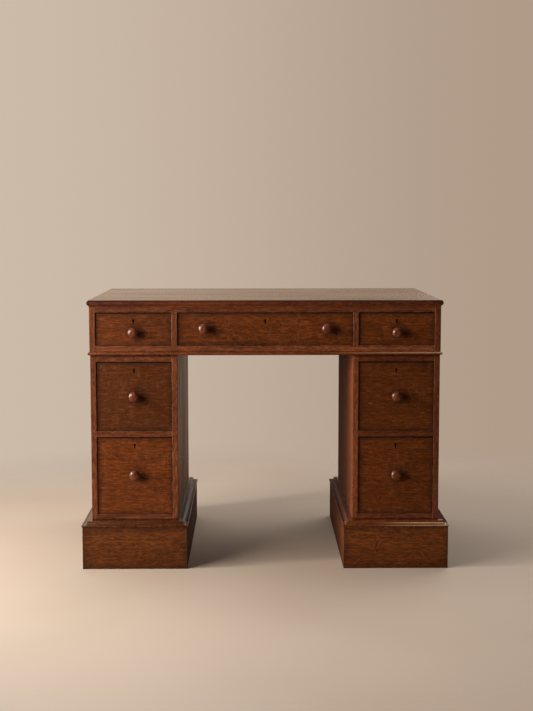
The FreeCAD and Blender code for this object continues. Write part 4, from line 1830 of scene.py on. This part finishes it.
@dataclass
class Studio:
    """The plain pale floor, the pale surround and the soft lamps.

    Colours in pairs are those to the left and to the right; the floor's two are mixed by a cloud
    instead.
    """

    floor_radius: float = 9.0
    floor_sides: int = 96
    fade_start: float = 0.8
    fade_end: float = 1.9
    floor_colours: tuple[Paint, Paint] = (tone(205, 186, 168), tone(198, 178, 159))
    floor_cloud: Layer = Layer((1.3, 1.3, 1.3))
    cloud_reach: Point = (0.3, 0.7)
    floor_rough: float = 0.75
    floor_shine: float = 0.3
    floor_mirrored: Paint = tone(128, 90, 62)
    wall: tuple[Paint, Paint] = (tone(205, 187, 170), tone(176, 155, 137))
    wall_mirrored: tuple[Paint, Paint] = (tone(222, 204, 180), tone(132, 108, 88))
    low_mirrored: tuple[Paint, Paint] = (tone(92, 70, 54), tone(186, 154, 126))
    room_mirrored: Paint = tone(48, 36, 28)
    wall_turn: Point = (-0.20, 0.20)
    mirrored_turn: Point = (-0.25, 0.30)
    low_turn: Point = (-0.3, 0.3)
    low_rise: Point = (0.02, -0.04)
    room_depth: Point = (0.35, 0.75)
    ambient: float = 0.09
    ambient_colour: Paint = (1.0, 0.97, 0.93, 1.0)
    lamps: tuple[Lamp, ...] = (
        Lamp("key", (-2.18, -1.73, 1.2), (0.0, -0.31, 0.5), (1.6, 1.3), 75.0, (1.0, 0.96, 0.90)),
        Lamp("strip", (-2.17, -0.69, 1.1), (0.0, -0.31, 0.6), (0.25, 1.4), 38.0,
             (1.0, 0.96, 0.90)),
        Lamp("overhead", (0.3, 1.2, 3.0), (0.3, 0.7, 0.0), (4.0, 3.0), 50.0, (1.0, 0.97, 0.94)),
        Lamp("rear", (2.4, 3.2, 1.9), (0.0, 0.3, 0.4), (3.2, 3.2), 42.0, (1.0, 0.97, 0.94)))

    def floor(self) -> None:
        """Lay a round floor that fades into the surround."""
        net, material = ShaderNet.for_material("studio_floor")
        side, deep, _ = net.place().parts()
        length = Signal(net, net.add("ShaderNodeVectorMath", {"operation": "LENGTH"}, {
            0: net.join(side, deep, 0.0)}).outputs["Value"])
        fade = length.rise(self.fade_start, self.fade_end)
        cloud = self.floor_cloud.draw(net.place()).rise(*self.cloud_reach)
        colour = net.mix(*self.floor_colours, cloud)
        colour = colour.toward(self.floor_mirrored, net.ray("Glossy"))
        floor = net.add("ShaderNodeBsdfPrincipled", {}, {
            "Base Color": colour, "Roughness": self.floor_rough,
            "Specular IOR Level": self.floor_shine})
        clear = net.add("ShaderNodeBsdfTransparent", {}, {})
        mixed = net.add("ShaderNodeMixShader", {}, {
            0: fade, 1: floor.outputs[0], 2: clear.outputs[0]})
        net.add("ShaderNodeOutputMaterial", {}, {0: mixed.outputs[0]})
        work = bmesh.new()
        bmesh.ops.create_circle(work, cap_ends=True, segments=self.floor_sides,
                                radius=self.floor_radius)
        put_mesh("studio_floor", work, material)

    def surround(self) -> None:
        """Light evenly from all round, and show a pale wall to the camera and in the polish."""
        world = bpy.data.worlds.new("studio")
        world.use_nodes = True
        bpy.context.scene.world = world
        net = ShaderNet(world.node_tree)
        direction = Place(net, net.add("ShaderNodeTexCoord", {}, {}).outputs["Generated"])
        side, deep, up = direction.parts()
        wall = net.mix(*self.wall, side.rise(*self.wall_turn))
        mirrored = net.mix(*self.wall_mirrored, side.rise(*self.mirrored_turn))
        low = net.mix(*self.low_mirrored, side.rise(*self.low_turn))
        mirrored = mirrored.toward(low, up.rise(*self.low_rise))
        room = net.mix(self.room_mirrored, mirrored, deep.rise(*self.room_depth))
        colour = room.toward(wall, net.ray("Camera"))
        seen = net.add("ShaderNodeBackground", {}, {0: colour, 1: 1.0})
        lit = net.add("ShaderNodeBackground", {}, {0: self.ambient_colour, 1: self.ambient})
        shown = net.ray("Camera").most(net.ray("Glossy")).most(net.ray("Transmission"))
        mixed = net.add("ShaderNodeMixShader", {}, {
            0: shown, 1: lit.outputs[0], 2: seen.outputs[0]})
        net.add("ShaderNodeOutputWorld", {}, {0: mixed.outputs[0]})

    def build(self) -> None:
        """Set the studio up."""
        bpy.context.scene.view_settings.view_transform = "Standard"
        self.floor()
        self.surround()
        for lamp in self.lamps:
            lamp.hang()
        log.info("studio: floor, surround and %d lamps", len(self.lamps))


@dataclass
class PhotoCamera:
    """The camera at the photograph's place and angle."""

    place: Triple = (-0.0373, -4.0936, 0.9923)
    pitch: float = 0.1019
    yaw: float = 0.0108
    roll: float = 0.0007
    lens: float = 68.35
    sensor: float = 36.0
    far: float = 100.0

    def build(self) -> None:
        """Make the camera and set it as the scene's."""
        data = bpy.data.cameras.new("photo_camera")
        data.lens = self.lens
        data.sensor_fit = "VERTICAL"
        data.sensor_height = self.sensor
        data.clip_end = self.far
        camera = put("photo_camera", data)
        forward = Vector((sin(self.yaw) * cos(self.pitch), cos(self.yaw) * cos(self.pitch),
                          -sin(self.pitch)))
        level = Vector((cos(self.yaw), -sin(self.yaw), 0.0))
        down = forward.cross(level)
        right = cos(self.roll) * level + sin(self.roll) * down
        under = -sin(self.roll) * level + cos(self.roll) * down
        turn = Matrix((right, -under, -forward)).transposed()
        camera.matrix_world = Matrix.Translation(self.place) @ turn.to_4x4()
        bpy.context.scene.camera = camera
        log.info("camera: lens %.2f mm, %.2f degrees down", self.lens, degrees(self.pitch))


def main() -> None:
    """Build the desk's look, the studio and the camera."""
    finishes = Finishes()
    DeskTop(finishes).build()
    Frieze(finishes).build()
    # Each pedestal's painted light and shade: tints on rails, moulding, plinth and sides, and
    # painted highlight lines on the right.
    left = PedestalWearAndLight(drawer_shades=(0.56, -0.08), plinth_lightening=0.08,
                        upper_rail_shade=(0.86, 0.82, 0.74), moulding_light_and_shade=(0.80, 0.88, 0.96),
                        plinth_shadow_tint=(0.62, 0.60, 0.56))
    right = PedestalWearAndLight(drawer_shades=(0.36, 0.20), plinth_lightening=0.42,
                         upper_rail_shade=(0.66, 0.58, 0.42), moulding_light_and_shade=(1.32, 1.36, 1.40),
                         plinth_shadow_tint=(0.85, 0.84, 0.82), inner_rough=0.8,
                         outer_side_shade=(0.80, 0.77, 0.72), inner_top_light=(1.35, 1.38, 1.40),
                         outer_moulding_shades=((0.60, 0.54, 0.48), (0.85, 0.82, 0.78)),
                         highlight_reach=(0.30, 0.46), crack=(0.330, 0.060))
    Pedestal(finishes, "left", 20, left).build()
    Pedestal(finishes, "right", 30, right).build()
    Studio().build()
    PhotoCamera().build()


if __name__ == "__main__":
    main()
